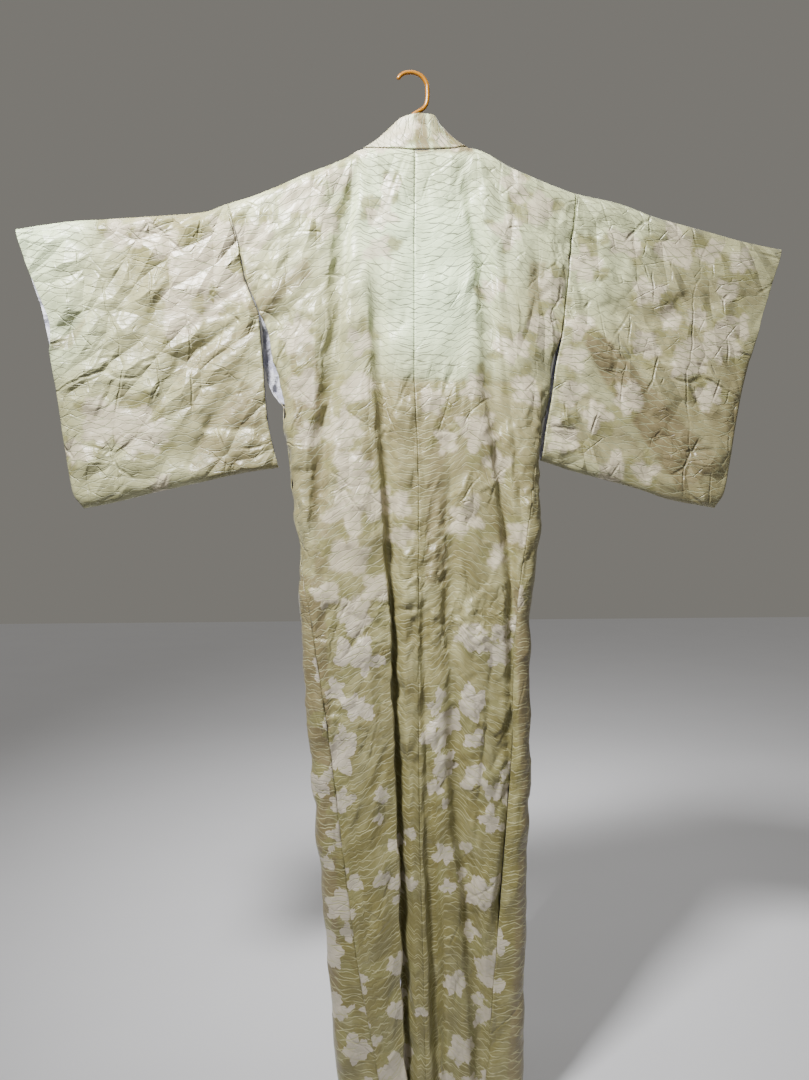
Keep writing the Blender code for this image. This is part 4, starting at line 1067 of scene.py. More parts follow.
def satin():
    """Figured silk satin, woven and then dyed: a soft lustre, woven ripple lines and faded dyed blossoms,
    with painted shade on facets, folds, side strips and towards the hem, and painted highlights on the ripple
    lines of the skirt.
    """
    found = bpy.data.materials.get("figured silk satin")
    if found:
        return found
    robe = bpy.context.scene.robe_cloth
    material, tree, shader = new_material("figured silk satin")
    mark = {
        name: add_node(tree, "ShaderNodeAttribute", {"attribute_name": name}).outputs["Fac"]
        for name in ("mint", "olive", "brown", "blossom", "petal", "leaf", "faded", "crush", "lean")
    }
    plane = add_node(tree, "ShaderNodeUVMap", {"uv_map": "cloth"}).outputs["UV"]

    def mix(share, below, above):
        below = hex_colour(below) if isinstance(below, str) else below
        above = hex_colour(above) if isinstance(above, str) else above
        node = add_node(tree, "ShaderNodeMix", {"data_type": "RGBA"}, n0=share, n6=below, n7=above)
        return node.outputs[2]

    def calc(kind, a, b=0.0, c=0.0, clamp=False):
        return add_node(tree, "ShaderNodeMath", {"operation": kind, "use_clamp": clamp}, n0=a, n1=b,
            n2=c).outputs[0]

    def band(value, low, high, to_low=0.0, to_high=1.0):
        smooth_step = {"interpolation_type": "SMOOTHSTEP"}
        node = add_node(
            tree, "ShaderNodeMapRange", smooth_step, n0=value, n1=low, n2=high, n3=to_low, n4=to_high
        )
        return node.outputs[0]

    def noise(where, scale, detail=2.0, output="Fac"):
        return add_node(tree, "ShaderNodeTexNoise", None, Vector=where, Scale=scale,
            Detail=detail).outputs[output]

    def moved_by(where, amount, scale):
        sway = noise(where, scale, 2.0, "Color")
        kind = {"operation": "MULTIPLY_ADD"}
        return add_node(tree, "ShaderNodeVectorMath", kind, n0=sway, n1=(amount, amount, 0.0),
            n2=where).outputs[0]

    # Cloudy dyeing: noise about 60 mm across moves the tones, and 12 and 5 mm noise rag the blossoms' edges.
    cloud = calc("SUBTRACT", noise(plane, 16.0, 3.0), 0.5)
    blot = calc("SUBTRACT", noise(plane, 45.0, 3.0), 0.5)
    ragged = calc("SUBTRACT", noise(plane, 170.0, 2.0), 0.5)
    rag = calc("MULTIPLY_ADD", blot, 22.0, calc("MULTIPLY", ragged, 12.0))
    drift = calc("MULTIPLY_ADD", cloud, 1.0, calc("MULTIPLY", blot, 0.7))
    ground = mix(calc("ADD", mark["olive"], drift, 0.0, True), robe.cream, robe.olive)
    # Painted shade: the brown mark carries the shaded facets, folds, side strips and the right sleeve's
    # shade, as well as dyed khaki.
    ground = mix(calc("ADD", mark["brown"], calc("MULTIPLY", drift, 0.6), 0.0, True), ground, robe.khaki_and_shade)
    ground = mix(mark["mint"], ground, robe.mint)
    edge = calc("MULTIPLY_ADD", mark["faded"], 4.6, 0.6)
    below_edge = calc("MULTIPLY", edge, -1.0)
    leaf = band(calc("MULTIPLY_ADD", rag, 0.6, mark["leaf"]), below_edge, edge, 0.0, robe.leaf_strength)
    dyed = mix(leaf, ground, robe.leaf)
    blossom = band(calc("ADD", mark["blossom"], rag), below_edge, edge)
    veil = calc("MULTIPLY", blossom, calc("MULTIPLY_ADD", mark["faded"], -0.15, 0.9))
    dyed = mix(veil, dyed, mix(mark["faded"], robe.blossom, robe.faded_blossom))
    petal = calc("MULTIPLY", band(mark["petal"], 1.8, 0.4), blossom)
    dyed = mix(calc("MULTIPLY", petal, calc("MULTIPLY_ADD", mark["faded"], -0.25, 0.35)), dyed,
        robe.petal_line)
    # Woven ripples: rows of long low lenses, v = k h + h / 2 sin(2 pi u / L) for even k and minus it for
    # odd k.
    swayed = moved_by(moved_by(plane, 0.022, 15.0), 0.006, 62.0)
    flat = add_node(tree, "ShaderNodeSeparateXYZ", None, Vector=swayed)
    wave = calc("SINE", calc("MULTIPLY", flat.outputs["X"], 2 * math.pi / RIPPLE_LENGTH))
    second = calc("SINE", calc("MULTIPLY", flat.outputs["X"], 2 * math.pi / RIPPLE_LENGTH * 1.63))
    wave = calc("MULTIPLY_ADD", second, 0.35, wave)
    row = calc("MULTIPLY", flat.outputs["Y"], 0.5 / RIPPLE_HEIGHT)
    even = calc("PINGPONG", calc("MULTIPLY_ADD", wave, 0.16, row), 0.5)
    odd = calc("PINGPONG", calc("MULTIPLY_ADD", wave, -0.16, calc("ADD", row, 0.5)), 0.5)
    ripple = band(calc("MINIMUM", even, odd), 0.066, 0.034)
    # On the pale ground the lines take a darker woven colour; on the olive ground they are painted highlights
    # on the ridges.
    line_tone = mix(mark["olive"], robe.line_on_pale, robe.highlight_on_olive)
    broken = band(noise(plane, 38.0, 2.0), 0.4, 0.54, 0.08, 0.95)
    dyed = mix(calc("MULTIPLY", calc("MULTIPLY", ripple, broken), robe.line_strength), dyed, line_tone)
    # Painted highlights: fine light strands between the ripples of the skirt, where the ground is olive.
    combed = add_node(tree, "ShaderNodeMapping", None, Vector=swayed, Scale=(30.0, 260.0, 1.0)).outputs[0]
    strand = band(noise(combed, 1.0, 2.0), 0.5, 0.62)
    dyed = mix(calc("MULTIPLY", calc("MULTIPLY", strand, mark["olive"]), 0.16), dyed, robe.highlight_on_olive)
    tree.links.new(dyed, shader.inputs["Base Color"])
    # Satin: a smooth weft face with a soft lustre; the woven lines are a little rougher.
    rough = band(ripple, 0.0, 1.0, 0.4, 0.55)
    tree.links.new(rough, shader.inputs["Roughness"])
    shader.inputs["Specular IOR Level"].default_value = 0.6
    shader.inputs["Sheen Weight"].default_value = 0.08
    shader.inputs["Sheen Roughness"].default_value = 0.4
    # Pressed-in facets about 48 and 21 mm across and bent creases 2 to 5 mm wide where the cloth was crushed.
    crushed = moved_by(moved_by(plane, 0.012, 14.0), 0.002, 90.0)
    across = {"feature": "DISTANCE_TO_EDGE", "voronoi_dimensions": "2D"}

    def leaning(turn):
        angle = calc("MULTIPLY_ADD", mark["lean"], 0.8, turn)
        heading = add_node(tree, "ShaderNodeCombineXYZ", None, Z=angle).outputs[0]
        kind = {"vector_type": "TEXTURE"}
        return add_node(
            tree, "ShaderNodeMapping", kind, Vector=crushed, Rotation=heading, Scale=(1.0, 2.0, 1.0)
        ).outputs[0]

    narrow = leaning(0.0)
    wide_facet = add_node(tree, "ShaderNodeTexVoronoi", across, Vector=narrow, Scale=21.0).outputs["Distance"]
    small_facet = add_node(tree, "ShaderNodeTexVoronoi", across, Vector=narrow,
        Scale=48.0).outputs["Distance"]
    crush = calc("MULTIPLY", mark["crush"], band(noise(plane, 9.0, 1.0), 0.36, 0.6, 0.12, 1.0))
    height = calc("MULTIPLY_ADD", small_facet, 0.16, calc("MULTIPLY", wide_facet, 1.3))
    for scale, turn, depth in ((10.0, 0.5, -0.13), (17.0, -0.7, -0.12), (36.0, 1.2, -0.08)):
        turned = leaning(turn)
        edge_of = add_node(tree, "ShaderNodeTexVoronoi", across, Vector=turned,
            Scale=scale).outputs["Distance"]
        crease = calc("MULTIPLY", band(edge_of, 0.05, 0.0), band(noise(turned, scale * 1.4, 1.0), 0.45, 0.6))
        height = calc("MULTIPLY_ADD", crease, depth, height)
    height = calc("MULTIPLY", height, crush)
    height = calc("MULTIPLY_ADD", noise(plane, 60.0, 3.0), 0.06, height)
    height = calc("MULTIPLY_ADD", ripple, -0.03, height)
    bump = add_node(tree, "ShaderNodeBump", None, Strength=1.0, Distance=robe.facet, Height=height).outputs[0]
    tree.links.new(bump, shader.inputs["Normal"])
    return material


def lining():
    """Plain woven silk lining, pale lavender white: a dull soft surface with small crumples,
    with painted shade in their hollows.
    """
    found = bpy.data.materials.get("plain silk lining")
    if found:
        return found
    robe = bpy.context.scene.robe_cloth
    material, tree, shader = new_material("plain silk lining")
    plane = add_node(tree, "ShaderNodeUVMap", {"uv_map": "cloth"}).outputs["UV"]
    small = add_node(tree, "ShaderNodeTexNoise", None, Vector=plane, Scale=38.0, Detail=3.0).outputs["Fac"]
    # Painted shade: the lining is darker where its crumple bump is low.
    hollow_shade = add_node(tree, "ShaderNodeMapRange", None, n0=small, n1=0.36, n2=0.62).outputs[0]
    colour = add_node(
        tree,
        "ShaderNodeMix",
        {"data_type": "RGBA"},
        n0=hollow_shade,
        n6=hex_colour(robe.lining_painted_shade),
        n7=hex_colour(robe.lining),
    ).outputs[2]
    tree.links.new(colour, shader.inputs["Base Color"])
    shader.inputs["Roughness"].default_value = 0.6
    shader.inputs["Sheen Weight"].default_value = 0.2
    bump = add_node(tree, "ShaderNodeBump", None, Strength=1.0, Distance=0.012, Height=small).outputs[0]
    tree.links.new(bump, shader.inputs["Normal"])
    return material


def plastic():
    """Injection-moulded polystyrene, amber: glossy and a little cloudy inside, with faint handling marks."""
    found = bpy.data.materials.get("amber moulded polystyrene")
    if found:
        return found
    robe = bpy.context.scene.robe_hanger
    material, tree, shader = new_material("amber moulded polystyrene")
    place = add_node(tree, "ShaderNodeTexCoord").outputs["Object"]
    cloud = add_node(tree, "ShaderNodeTexNoise", None, Vector=place, Scale=60.0, Detail=3.0).outputs["Fac"]
    colour = add_node(
        tree,
        "ShaderNodeMix",
        {"data_type": "RGBA"},
        n0=cloud,
        n6=hex_colour(robe.plastic_shade),
        n7=hex_colour(robe.plastic),
    ).outputs[2]
    tree.links.new(colour, shader.inputs["Base Color"])
    wear = add_node(tree, "ShaderNodeTexNoise", None, Vector=place, Scale=220.0, Detail=4.0).outputs["Fac"]
    rough = add_node(tree, "ShaderNodeMapRange", None, n0=wear, n1=0.3, n2=0.7, n3=0.24, n4=0.4).outputs[0]
    tree.links.new(rough, shader.inputs["Roughness"])
    shader.inputs["IOR"].default_value = 1.55
    shader.inputs["Subsurface Weight"].default_value = 0.05
    shader.inputs["Subsurface Radius"].default_value = (1.0, 0.4, 0.1)
    shader.inputs["Subsurface Scale"].default_value = 0.003
    return material


def cloth_materials():
    return [satin(), lining()]


class RobeClothSettings(bpy.types.PropertyGroup):
    """Sizes and colours of the robe's cloth."""

    step: bpy.props.FloatProperty(
        name="Grid step", description="Distance between the rows of a panel", default=0.0043, unit="LENGTH"
    )
    wall: bpy.props.FloatProperty(
        name="Cloth wall", description="Thickness of the cloth with its lining", default=0.0012, unit="LENGTH"
    )
    facet: bpy.props.FloatProperty(
        name="Facets", description="Height of the small pressed-in facets", default=0.016, unit="LENGTH"
    )
    crumple: bpy.props.FloatProperty(
        name="Crumples", description="How deep the pressed-in crumples are", default=1.3, min=0, max=2
    )
    seam: bpy.props.FloatProperty(
        name="Seam depth", description="How far a seam is drawn in", default=0.0005, unit="LENGTH"
    )
    line_strength: bpy.props.FloatProperty(
        name="Line strength", description="How clear the woven ripple lines are", default=1.0, min=0, max=1
    )
    leaf_strength: bpy.props.FloatProperty(
        name="Leaf strength", description="How clear the dyed leaves are", default=0.8, min=0, max=1
    )
    cream: bpy.props.StringProperty(name="Cream", description="Dyed ground on the shoulders",
        default="BAB68A")
    # Partly painted shade: the olive is darker than the dye alone, for the shade towards the hem.
    olive: bpy.props.StringProperty(name="Olive", description="Dyed ground of the skirt", default="766F41")
    # Dyed khaki and painted shade: this colour also fills the shaded fields of facets, folds, collar and side
    # strips.
    khaki_and_shade: bpy.props.StringProperty(name="Khaki", description="Browner ground", default="766A4A")
    mint: bpy.props.StringProperty(name="Mint", description="Palest ground of the upper back",
        default="D6EABE")
    leaf: bpy.props.StringProperty(name="Leaf", description="Dyed leaves", default="7F7B4E")
    blossom: bpy.props.StringProperty(name="Blossom", description="Dyed blossoms", default="BCB2A2")
    faded_blossom: bpy.props.StringProperty(name="Faded blossom", description="Higher up", default="C6BAA2")
    petal_line: bpy.props.StringProperty(name="Petal line", description="Between two petals",
        default="9C9882")
    line_on_pale: bpy.props.StringProperty(name="Line on pale", description="Woven lines", default="6E765E")
    # Painted highlight: the light colour of the woven lines and strands on the olive skirt.
    highlight_on_olive: bpy.props.StringProperty(name="Line on olive", description="Woven lines", default="ABA77B")
    lining: bpy.props.StringProperty(name="Lining", description="Plain lining", default="D8D8E0")
    # Painted shade in the hollows of the lining's crumples.
    lining_painted_shade: bpy.props.StringProperty(name="Lining shade", description="In its creases",
        default="9C9CAE")


class RobeHangerSettings(bpy.types.PropertyGroup):
    """Sizes and colours of the hanger."""

    arm_radius: bpy.props.FloatProperty(
        name="Arm radius", description="Radius of the arms", default=TUBE_RADIUS * MILLIMETRE, unit="LENGTH"
    )
    hook_radius: bpy.props.FloatProperty(
        name="Hook radius", description="Radius of the hook", default=HOOK_RADIUS * MILLIMETRE, unit="LENGTH"
    )
    plastic: bpy.props.StringProperty(name="Plastic", description="Amber plastic", default="9A6400")
    plastic_shade: bpy.props.StringProperty(name="Plastic shade", description="Cloudier part",
        default="825200")


class RobeStageSettings(bpy.types.PropertyGroup):
    """Floor, light and camera."""

    floor: bpy.props.StringProperty(name="Floor", description="Plain pale floor", default="CFCFD2")
    key: bpy.props.FloatProperty(name="Key light", description="Power of the main light", default=39.0,
        unit="POWER")
    fill: bpy.props.FloatProperty(name="Fill light", description="Power of the fill light", default=2.0,
        unit="POWER")
    overhead: bpy.props.FloatProperty(name="Overhead", description="Even light from above, for the floor",
        default=0.5)
    back: bpy.props.FloatProperty(name="Back light", description="Power of the light behind", default=14.0,
        unit="POWER")
    lens: bpy.props.FloatProperty(name="Lens", description="Focal length in millimetres", default=27.03)


def pressed(grid, outward, wall_side=False):
    """A grid moved inwards along its normals by its crumples and sharp creases, and by nothing at the
    folds."""
    robe = bpy.context.scene.robe_cloth
    x, z = grid[..., 0], grid[..., 2]
    depth = crumple(x, z, 100 if wall_side else 0)
    if not wall_side:
        depth = depth + pressed_in(PRESSED, x, z)
    depth = np.clip(depth * robe.crumple, -5, 6) * np.clip((top_line(x) - z) / 30.0, 0, 1)
    return grid - grid_normals(grid, outward) * depth[..., None]


def seam_dip(grid, outward, columns):
    """A grid drawn in along the seams at the given columns: depth x exp(-(run / 2.5 mm)^2)."""
    robe = bpy.context.scene.robe_cloth
    step = np.linalg.norm(np.diff(grid, axis=1), axis=2)
    run = np.concatenate([np.zeros((len(grid), 1)), np.cumsum(step, axis=1)], axis=1)
    normal = grid_normals(grid, outward)
    dip = np.zeros(grid.shape[:2])
    for column in columns:
        dip += np.exp(-(((run - run[:, column : column + 1] if column >= 0 else run[:,
            -1:] - run) / 2.5) ** 2))
    return grid - normal * (dip * robe.seam / MILLIMETRE)[..., None]


LENGTHS = ("upper", "middle", "skirt")


def dress(piece, node):
    """Makes a piece ride on the robe and stand for its CAD nodes, which it hides."""
    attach(piece, "root")
    nodes = [f"{node}_{part}" for part in LENGTHS] if node.startswith(("back", "front")) else [node]
    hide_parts(*nodes)


def body_grids(side):
    """The dense grids of one side of the body."""
    robe = bpy.context.scene.robe_cloth
    step = robe.step / MILLIMETRE
    columns = (int(430 / step), int(290 / step), int(120 / step))
    return half_body(side, step, columns)


BACK_SIDE = np.array([0.0, -1.0, 0.0])
WALL_SIDE = np.array([0.0, 1.0, 0.0])


class RobeBackPanels(bpy.types.Operator):
    """Make both back panels, from the centre seam to the side seams."""

    bl_idname = "robe.back_panels"
    bl_label = "Back panels"

    def execute(self, context):
        for side, name in ((-1, "back_left"), (1, "back_right")):
            _, grid, _, _ = body_grids(side)
            grid = seam_dip(pressed(grid, BACK_SIDE), BACK_SIDE, (0, -1))
            piece = sheet_piece(name + "_cloth", grid, BACK_SIDE, context.scene.robe_cloth.wall)
            dress(piece, name)
        return {"FINISHED"}


class RobeFrontPanels(bpy.types.Operator):
    """Make both front panels, from the side seams to the overlap seams, and both overlap panels."""

    bl_idname = "robe.front_panels"
    bl_label = "Front and overlap panels"

    def execute(self, context):
        for side, name in ((-1, "left"), (1, "right")):
            rows, _, front, overlap = body_grids(side)
            wall = context.scene.robe_cloth.wall
            front = seam_dip(pressed(front, WALL_SIDE, True), WALL_SIDE, (-1,))
            piece = sheet_piece("front_" + name + "_cloth", front, WALL_SIDE, wall, True)
            dress(piece, "front_" + name)
            wide = np.linalg.norm(overlap[:, -1] - overlap[:, 0], axis=1) > 1.0
            overlap = seam_dip(pressed(overlap[wide], WALL_SIDE, True), WALL_SIDE, (0,))
            piece = sheet_piece("overlap_" + name + "_cloth", overlap, WALL_SIDE, wall, True)
            dress(piece, "overlap_" + name)
        return {"FINISHED"}


def sleeve_frame(sleeve, down_shares, open_shares, across):
    """The sleeve's outline as four curves on the same rows and columns: inner, outer, top and bottom."""
    side = sleeve["side"]
    (top, armpit), column = sleeve["armhole"]
    armhole_z = top + (armpit - top) * down_shares
    armhole = np.stack([body(column, armhole_z) + side * SEAM_GAP / 2, armhole_z], axis=1)
    edge = sleeve["open_edge"]
    open_z = armpit + (edge["z"][-1] - armpit) * open_shares
    places = np.concatenate([[armpit], edge["z"]])
    values = np.concatenate([[armhole[-1, 0]], edge["x"]])
    inner = np.concatenate([armhole, np.stack([smooth(open_z, places, values), open_z], axis=1)])
    cuff_z = sleeve["cuff"]["z"]
    cuff_rows = cuff_z[0] + (cuff_z[-1] - cuff_z[0]) * down_shares
    cuff = np.stack([smooth(cuff_rows, cuff_z, sleeve["cuff"]["x"]), cuff_rows], axis=1)
    outer_z = sleeve["outer"]["z"]
    outer_rows = outer_z[0] + (outer_z[-1] - outer_z[0]) * open_shares
    outer = np.concatenate([cuff, np.stack([smooth(outer_rows, outer_z, sleeve["outer"]["x"]), outer_rows],
        axis=1)])
    top_x = inner[0, 0] + (outer[0, 0] - inner[0, 0]) * across
    bottom_x = inner[-1, 0] + (outer[-1, 0] - inner[-1, 0]) * across
    top_edge = np.stack([top_x, top_line(top_x)], axis=1)
    bottom_edge = np.stack([bottom_x, smooth(bottom_x, sleeve["bottom"]["x"], sleeve["bottom"]["z"])], axis=1)
    return inner, outer, top_edge, bottom_edge


def sleeve_plane(edges, across):
    """The sleeve's flat grid in x and z: the sum of both edge blends less the blend of its four corners."""
    inner, outer, top_edge, bottom_edge = edges
    inner_share = (inner[:, 1] - inner[0, 1]) / (inner[-1, 1] - inner[0, 1])
    outer_share = (outer[:, 1] - outer[0, 1]) / (outer[-1, 1] - outer[0, 1])
    share = across[None, :, None]
    down = (inner_share[:, None] * (1 - across) + outer_share[:, None] * across)[..., None]
    between_sides = inner[:, None] * (1 - share) + outer[:, None] * share
    between_ends = top_edge[None] * (1 - down) + bottom_edge[None] * down
    corners = (
        inner[0] * (1 - down) * (1 - share)
        + inner[-1] * down * (1 - share)
        + outer[0] * (1 - down) * share
        + outer[-1] * down * share
    )
    return between_sides + between_ends - corners


def sleeve_layers(sleeve, step):
    """Outer faces of the sleeve's back and front layer, which meet at the top fold and the sewn edges."""
    turn = np.linspace(0, 0.5 * np.pi, 8)
    (top, armpit), _ = sleeve["armhole"]
    fold = FOLD_DEPTH * (1 - np.cos(turn)) / (top - armpit)
    down_shares = np.concatenate([fold, np.linspace(fold[-1], 1, int((top - armpit) / step))[1:]])
    bottom_z = sleeve["open_edge"]["z"][-1]
    hem = SLEEVE_EDGE * (1 - np.cos(turn)) / (armpit - bottom_z)
    plain = np.linspace(0, 1 - hem[-1], int((armpit - bottom_z) / step))[1:]
    open_shares = np.concatenate([plain, 1 - hem[::-1][1:]])
    width = 410.0
    rounded = SLEEVE_EDGE * (1 - np.cos(turn)) / width
    across = np.concatenate([np.linspace(0, 1 - rounded[-1], int(width / step)), 1 - rounded[::-1][1:]])
    cuff_row = len(down_shares) - 1
    edges = sleeve_frame(sleeve, down_shares, open_shares, across)
    plane = sleeve_plane(edges, across)
    outer = edges[1]
    x, z = plane[..., 0], plane[..., 1]
    below = top_line(x) - z
    above = z - smooth(x, sleeve["bottom"]["x"], sleeve["bottom"]["z"])
    from_edge = np.abs(outer[:, None, 0] - x)
    cuff_end = sleeve["cuff"]["z"][-1]
    is_open = np.clip((outer[:, 1][:, None] - cuff_end) / sleeve["cuff_rise"], 0, 1) ** 0.5
    closed = quarter_round(from_edge / SLEEVE_EDGE)
    half = SLEEVE_HALF + (sleeve["cuff_half"] - SLEEVE_HALF) * across[None]
    half = half * quarter_round(below / FOLD_DEPTH) * quarter_round(above / SLEEVE_EDGE)
    half = half * (closed + (1 - closed) * is_open)
    held = np.clip(half / SLEEVE_HALF, 0, 1)
    creases = along_line(SLEEVE_CREASES, x, z) + pressed_in(PRESSED, x, z) + crumple(x, z)
    creases = np.minimum(creases * held, half * 0.85)
    inset = smooth(z, sleeve["cuff_inset"]["z"], sleeve["cuff_inset"]["inset"])
    inset = np.where(z > cuff_end, inset, 0) * np.clip((across[None] - 0.75) / 0.25, 0, 1) ** 2
    back = np.stack([x - sleeve["side"] * inset, -half + creases, z], axis=-1)
    front = np.stack([x, half - crumple(x, z, 100) * held, z], axis=-1)
    return back, front, cuff_row


def make_sleeve(sleeve):
    """One sleeve: two layers of quads that share the top fold, the bottom edge and the sewn part of the
    cuff."""
    robe = bpy.context.scene.robe_cloth
    step = robe.step / MILLIMETRE * 1.0
    back, front, cuff_row = sleeve_layers(sleeve, step)
    rows, columns = back.shape[:2]
    back_index = np.arange(rows * columns).reshape(rows, columns)
    shared = np.zeros((rows, columns), bool)
    shared[0] = shared[-1] = True
    shared[cuff_row:, -1] = True
    front_index = back_index.copy()
    front_index[~shared] = rows * columns + np.arange((~shared).sum())
    points = np.concatenate([back.reshape(-1, 3), front[~shared]])
    flip = sleeve["side"] < 0
    faces = np.concatenate([grid_faces(back_index, not flip), grid_faces(front_index, flip)])
    plane_back, plane_front = cloth_plane(back), cloth_plane(front)
    plane = np.concatenate([plane_back.reshape(-1, 2), plane_front[~shared]])
    marks_back, marks_front = cloth_marks(back, False, 1.0), cloth_marks(front, True, 1.0)
    marks = {key: np.concatenate([marks_back[key].ravel(), marks_front[key][~shared]]) for key in marks_back}
    piece = surface_piece(sleeve["name"] + "_cloth", points, faces, plane, marks, cloth_materials())
    thicken(piece, robe.wall)
    dress(piece, sleeve["name"])
    return piece


class RobeSleeves(bpy.types.Operator):
    """Make both sleeves, each one cloth folded over at the top and sewn along its lower edge."""

    bl_idname = "robe.sleeves"
    bl_label = "Sleeves"

    def execute(self, context):
        make_sleeve(LEFT_SLEEVE)
        make_sleeve(RIGHT_SLEEVE)
        return {"FINISHED"}


def collar_half(side, rows, back, front):
    """Sewn edge and folded edge of the collar, from the centre back to its end on the front, row by row."""
    name = "left" if side < 0 else "right"
    around = back[0, : int(np.argmin(np.abs(back[0, :, 0] - front[0, 0])))]
    kept = rows > COLLAR_END - 2
    kept[1:7] = False
    down = front[kept]
    sewn = np.concatenate([around, down])
    gap = np.concatenate([np.tile([0.0, 0.0, 1.0], (len(around), 1)), np.zeros((len(down), 3))])
    slope = slope_of(down)
    across = np.stack([-slope[:, 2], np.zeros(len(down)), slope[:, 0]], axis=1) * -side
    gap[len(around) :] = across / np.linalg.norm(across, axis=1, keepdims=True)
    folded = sewn + gap * COLLAR_WIDTH
    depth = LEFT_FRONT if side < 0 else RIGHT_FRONT
    edge = body(name + "_edge", folded[:, 2])
    folded[:, 1] = front_surface(folded[:, 0], folded[:, 2], edge, depth) + COLLAR_PROUD
    run = np.concatenate([[0], np.cumsum(np.linalg.norm(np.diff(sewn, axis=0), axis=1))])
    neck = LEFT_NECK if side < 0 else RIGHT_NECK
    at_neck = np.stack([smooth(run, neck["run"], neck[k]) for k in "xyz"], axis=1)
    share = np.clip((run - neck["run"][-2]) / (neck["run"][-1] - neck["run"][-2]), 0, 1)[:, None]
    folded = at_neck * (1 - share) + folded * share
    start = run[len(around)]
    past_neck = np.clip((run[len(around) :] - start) / 40.0, 0, 1)[:, None]
    gap[len(around) :] = gap[len(around) :] * past_neck + [0.0, 0.0, 1.0] * (1 - past_neck)
    near_neck = np.exp(-(((run - start) / 25.0) ** 2))[:, None]
    sewn = sewn + gap * (SEAM_GAP + 1.1 * near_neck)
    sewn[:, 0] -= side * 2.2 * near_neck[:, 0] ** 3
    sewn[len(around) :, 1] += COLLAR_PROUD * past_neck[:, 0]
    return sewn, folded, np.concatenate([np.zeros(len(around)), rows[kept]])


def band_grid(sewn, folded, outward, thick):
    """A folded band: its outer layer from the sewn edge, a round fold, and its inner layer back to the
    seam."""
    share = np.linspace(0, 1, 17)[None, :, None]
    outer = sewn[:, None] * (1 - share) + folded[:, None] * share
    swell = np.sin(np.pi * share) * 1.2
    down, along = np.gradient(outer, axis=0), np.gradient(outer, axis=1)
    normal = np.cross(down, along)
    normal /= np.maximum(np.linalg.norm(normal, axis=2, keepdims=True), 1e-9)
    normal *= outward
    outer = outer + normal * (swell - 1.2)
    edge_normal = normal[:, -1:]
    reach = outer[:, -1:] - outer[:, -2:-1]
    reach /= np.maximum(np.linalg.norm(reach, axis=2, keepdims=True), 1e-9)
    half = thick / 2
    turn = np.linspace(0, np.pi, 7)[1:-1][None, :, None]
    bend = outer[:, -1:] - edge_normal * half * (1 - np.cos(turn)) + reach * half * np.sin(turn)
    inner = (outer - normal * thick)[:, ::-1]
    return np.concatenate([outer, bend, inner], axis=1)


def make_band(name, sewn, folded, outward):
    """One folded band of the collar, with its wall, ridden on the robe."""
    robe = bpy.context.scene.robe_cloth
    grid = band_grid(sewn, folded, outward, 1.6)
    rows, columns = grid.shape[:2]
    index = np.arange(rows * columns).reshape(rows, columns)
    middle = grid[:, :17]
    normal = np.cross(np.gradient(middle, axis=0), np.gradient(middle, axis=1)) * outward
    a, b, c, d = middle[:-1, :-1], middle[:-1, 1:], middle[1:, 1:], middle[1:, :-1]
    facing = (np.cross(c - a, d - b) * normal[:-1, :-1]).sum()
    faces = grid_faces(index, facing < 0)
    marks = {key: value.ravel() for key, value in cloth_marks(grid).items()}
    plane = cloth_plane(grid).reshape(-1, 2)
    piece = surface_piece(name + "_band", grid.reshape(-1, 3), faces, plane, marks, [satin(), satin()])
    thicken(piece, robe.wall * 0.5)
    dress(piece, name)
    return piece


class RobeCollar(bpy.types.Operator):
    """Make the over-collar round the neck and the end of the collar below it on each front."""

    bl_idname = "robe.collar"
    bl_label = "Collar"

    def execute(self, context):
        over = []
        for side, name in ((-1, "collar_left"), (1, "collar_right")):
            rows, back, front, overlap = body_grids(side)
            sewn, folded, heights = collar_half(side, rows, back, overlap[:, -1])
            keep = heights >= OVER_COLLAR_END
            over.append((sewn[keep], folded[keep]))
            below = heights <= OVER_COLLAR_END + 1
            front = name.replace("collar", "front") + "_cloth"
            make_band(name, sewn[below], folded[below], -side)
        (left_sewn, left_folded), (right_sewn, right_folded) = over
        sewn = np.concatenate([right_sewn[:0:-1], left_sewn])
        folded = np.concatenate([right_folded[:0:-1], left_folded])
        make_band("over_collar", sewn, folded, 1)
        return {"FINISHED"}


class RobeLining(bpy.types.Operator):
    """Make the crumpled lining that shows in the opening under the left arm."""

    bl_idname = "robe.lining"
    bl_label = "Lining"

    def execute(self, context):
        rows, _, front, _ = body_grids(-1)
        part = pressed(front, WALL_SIDE, True)[(rows < -440) & (rows > OPENING_END), :26]
        grid = part - WALL_SIDE * 2.4
        x, z = grid[..., 0], grid[..., 2]
        grid[..., 1] -= 0.9 + 0.9 * np.sin(x / 5.0 + 0.8 * np.sin(z / 9.0)) * np.sin(z / 7.0)
        piece = sheet_piece("lining_left_cloth", grid, BACK_SIDE, context.scene.robe_cloth.wall)
        piece.data.materials[0] = lining()
        dress(piece, "lining_left")
        return {"FINISHED"}


def hook_path():
    """The hook's centre line: round over the nail, down its side and back under to the stem."""
    place = np.arange(len(HOOK["x"]))
    at = np.linspace(0, place[-1], 5 * len(place))
    return np.stack([smooth(at, place, HOOK["x"]), np.zeros_like(at), smooth(at, place, HOOK["z"])], axis=1)


def arms_path():
    """The arms' centre line: just under the shoulder folds at both ends, and lower towards the neck."""
    x = np.linspace(-ARM_REACH, ARM_REACH, 120)
    outside = np.where(x < NECK_MIDDLE, np.minimum(x, -116), np.maximum(x, 130))
    slope = np.where(x < NECK_MIDDLE, -0.30, 0.34)
    top = top_line(outside) + (outside - x) * slope * np.clip(np.abs(outside - x) / 60, 0, 1)
    extra = 0.6 + 2.5 * np.clip((ARM_REACH - np.abs(x)) / 60, 0, 1)
    extra += 10 * np.exp(-(((np.abs(x - 6) - 94) / 34) ** 2))
    z = top - 1.5 - SEAM_GAP - TUBE_RADIUS - 0.35 - extra
    apex = np.exp(-(((x - 3) / 26) ** 2))
    return np.stack([x, np.zeros_like(x), z * (1 - apex) + apex * np.minimum(z, -114)], axis=1)


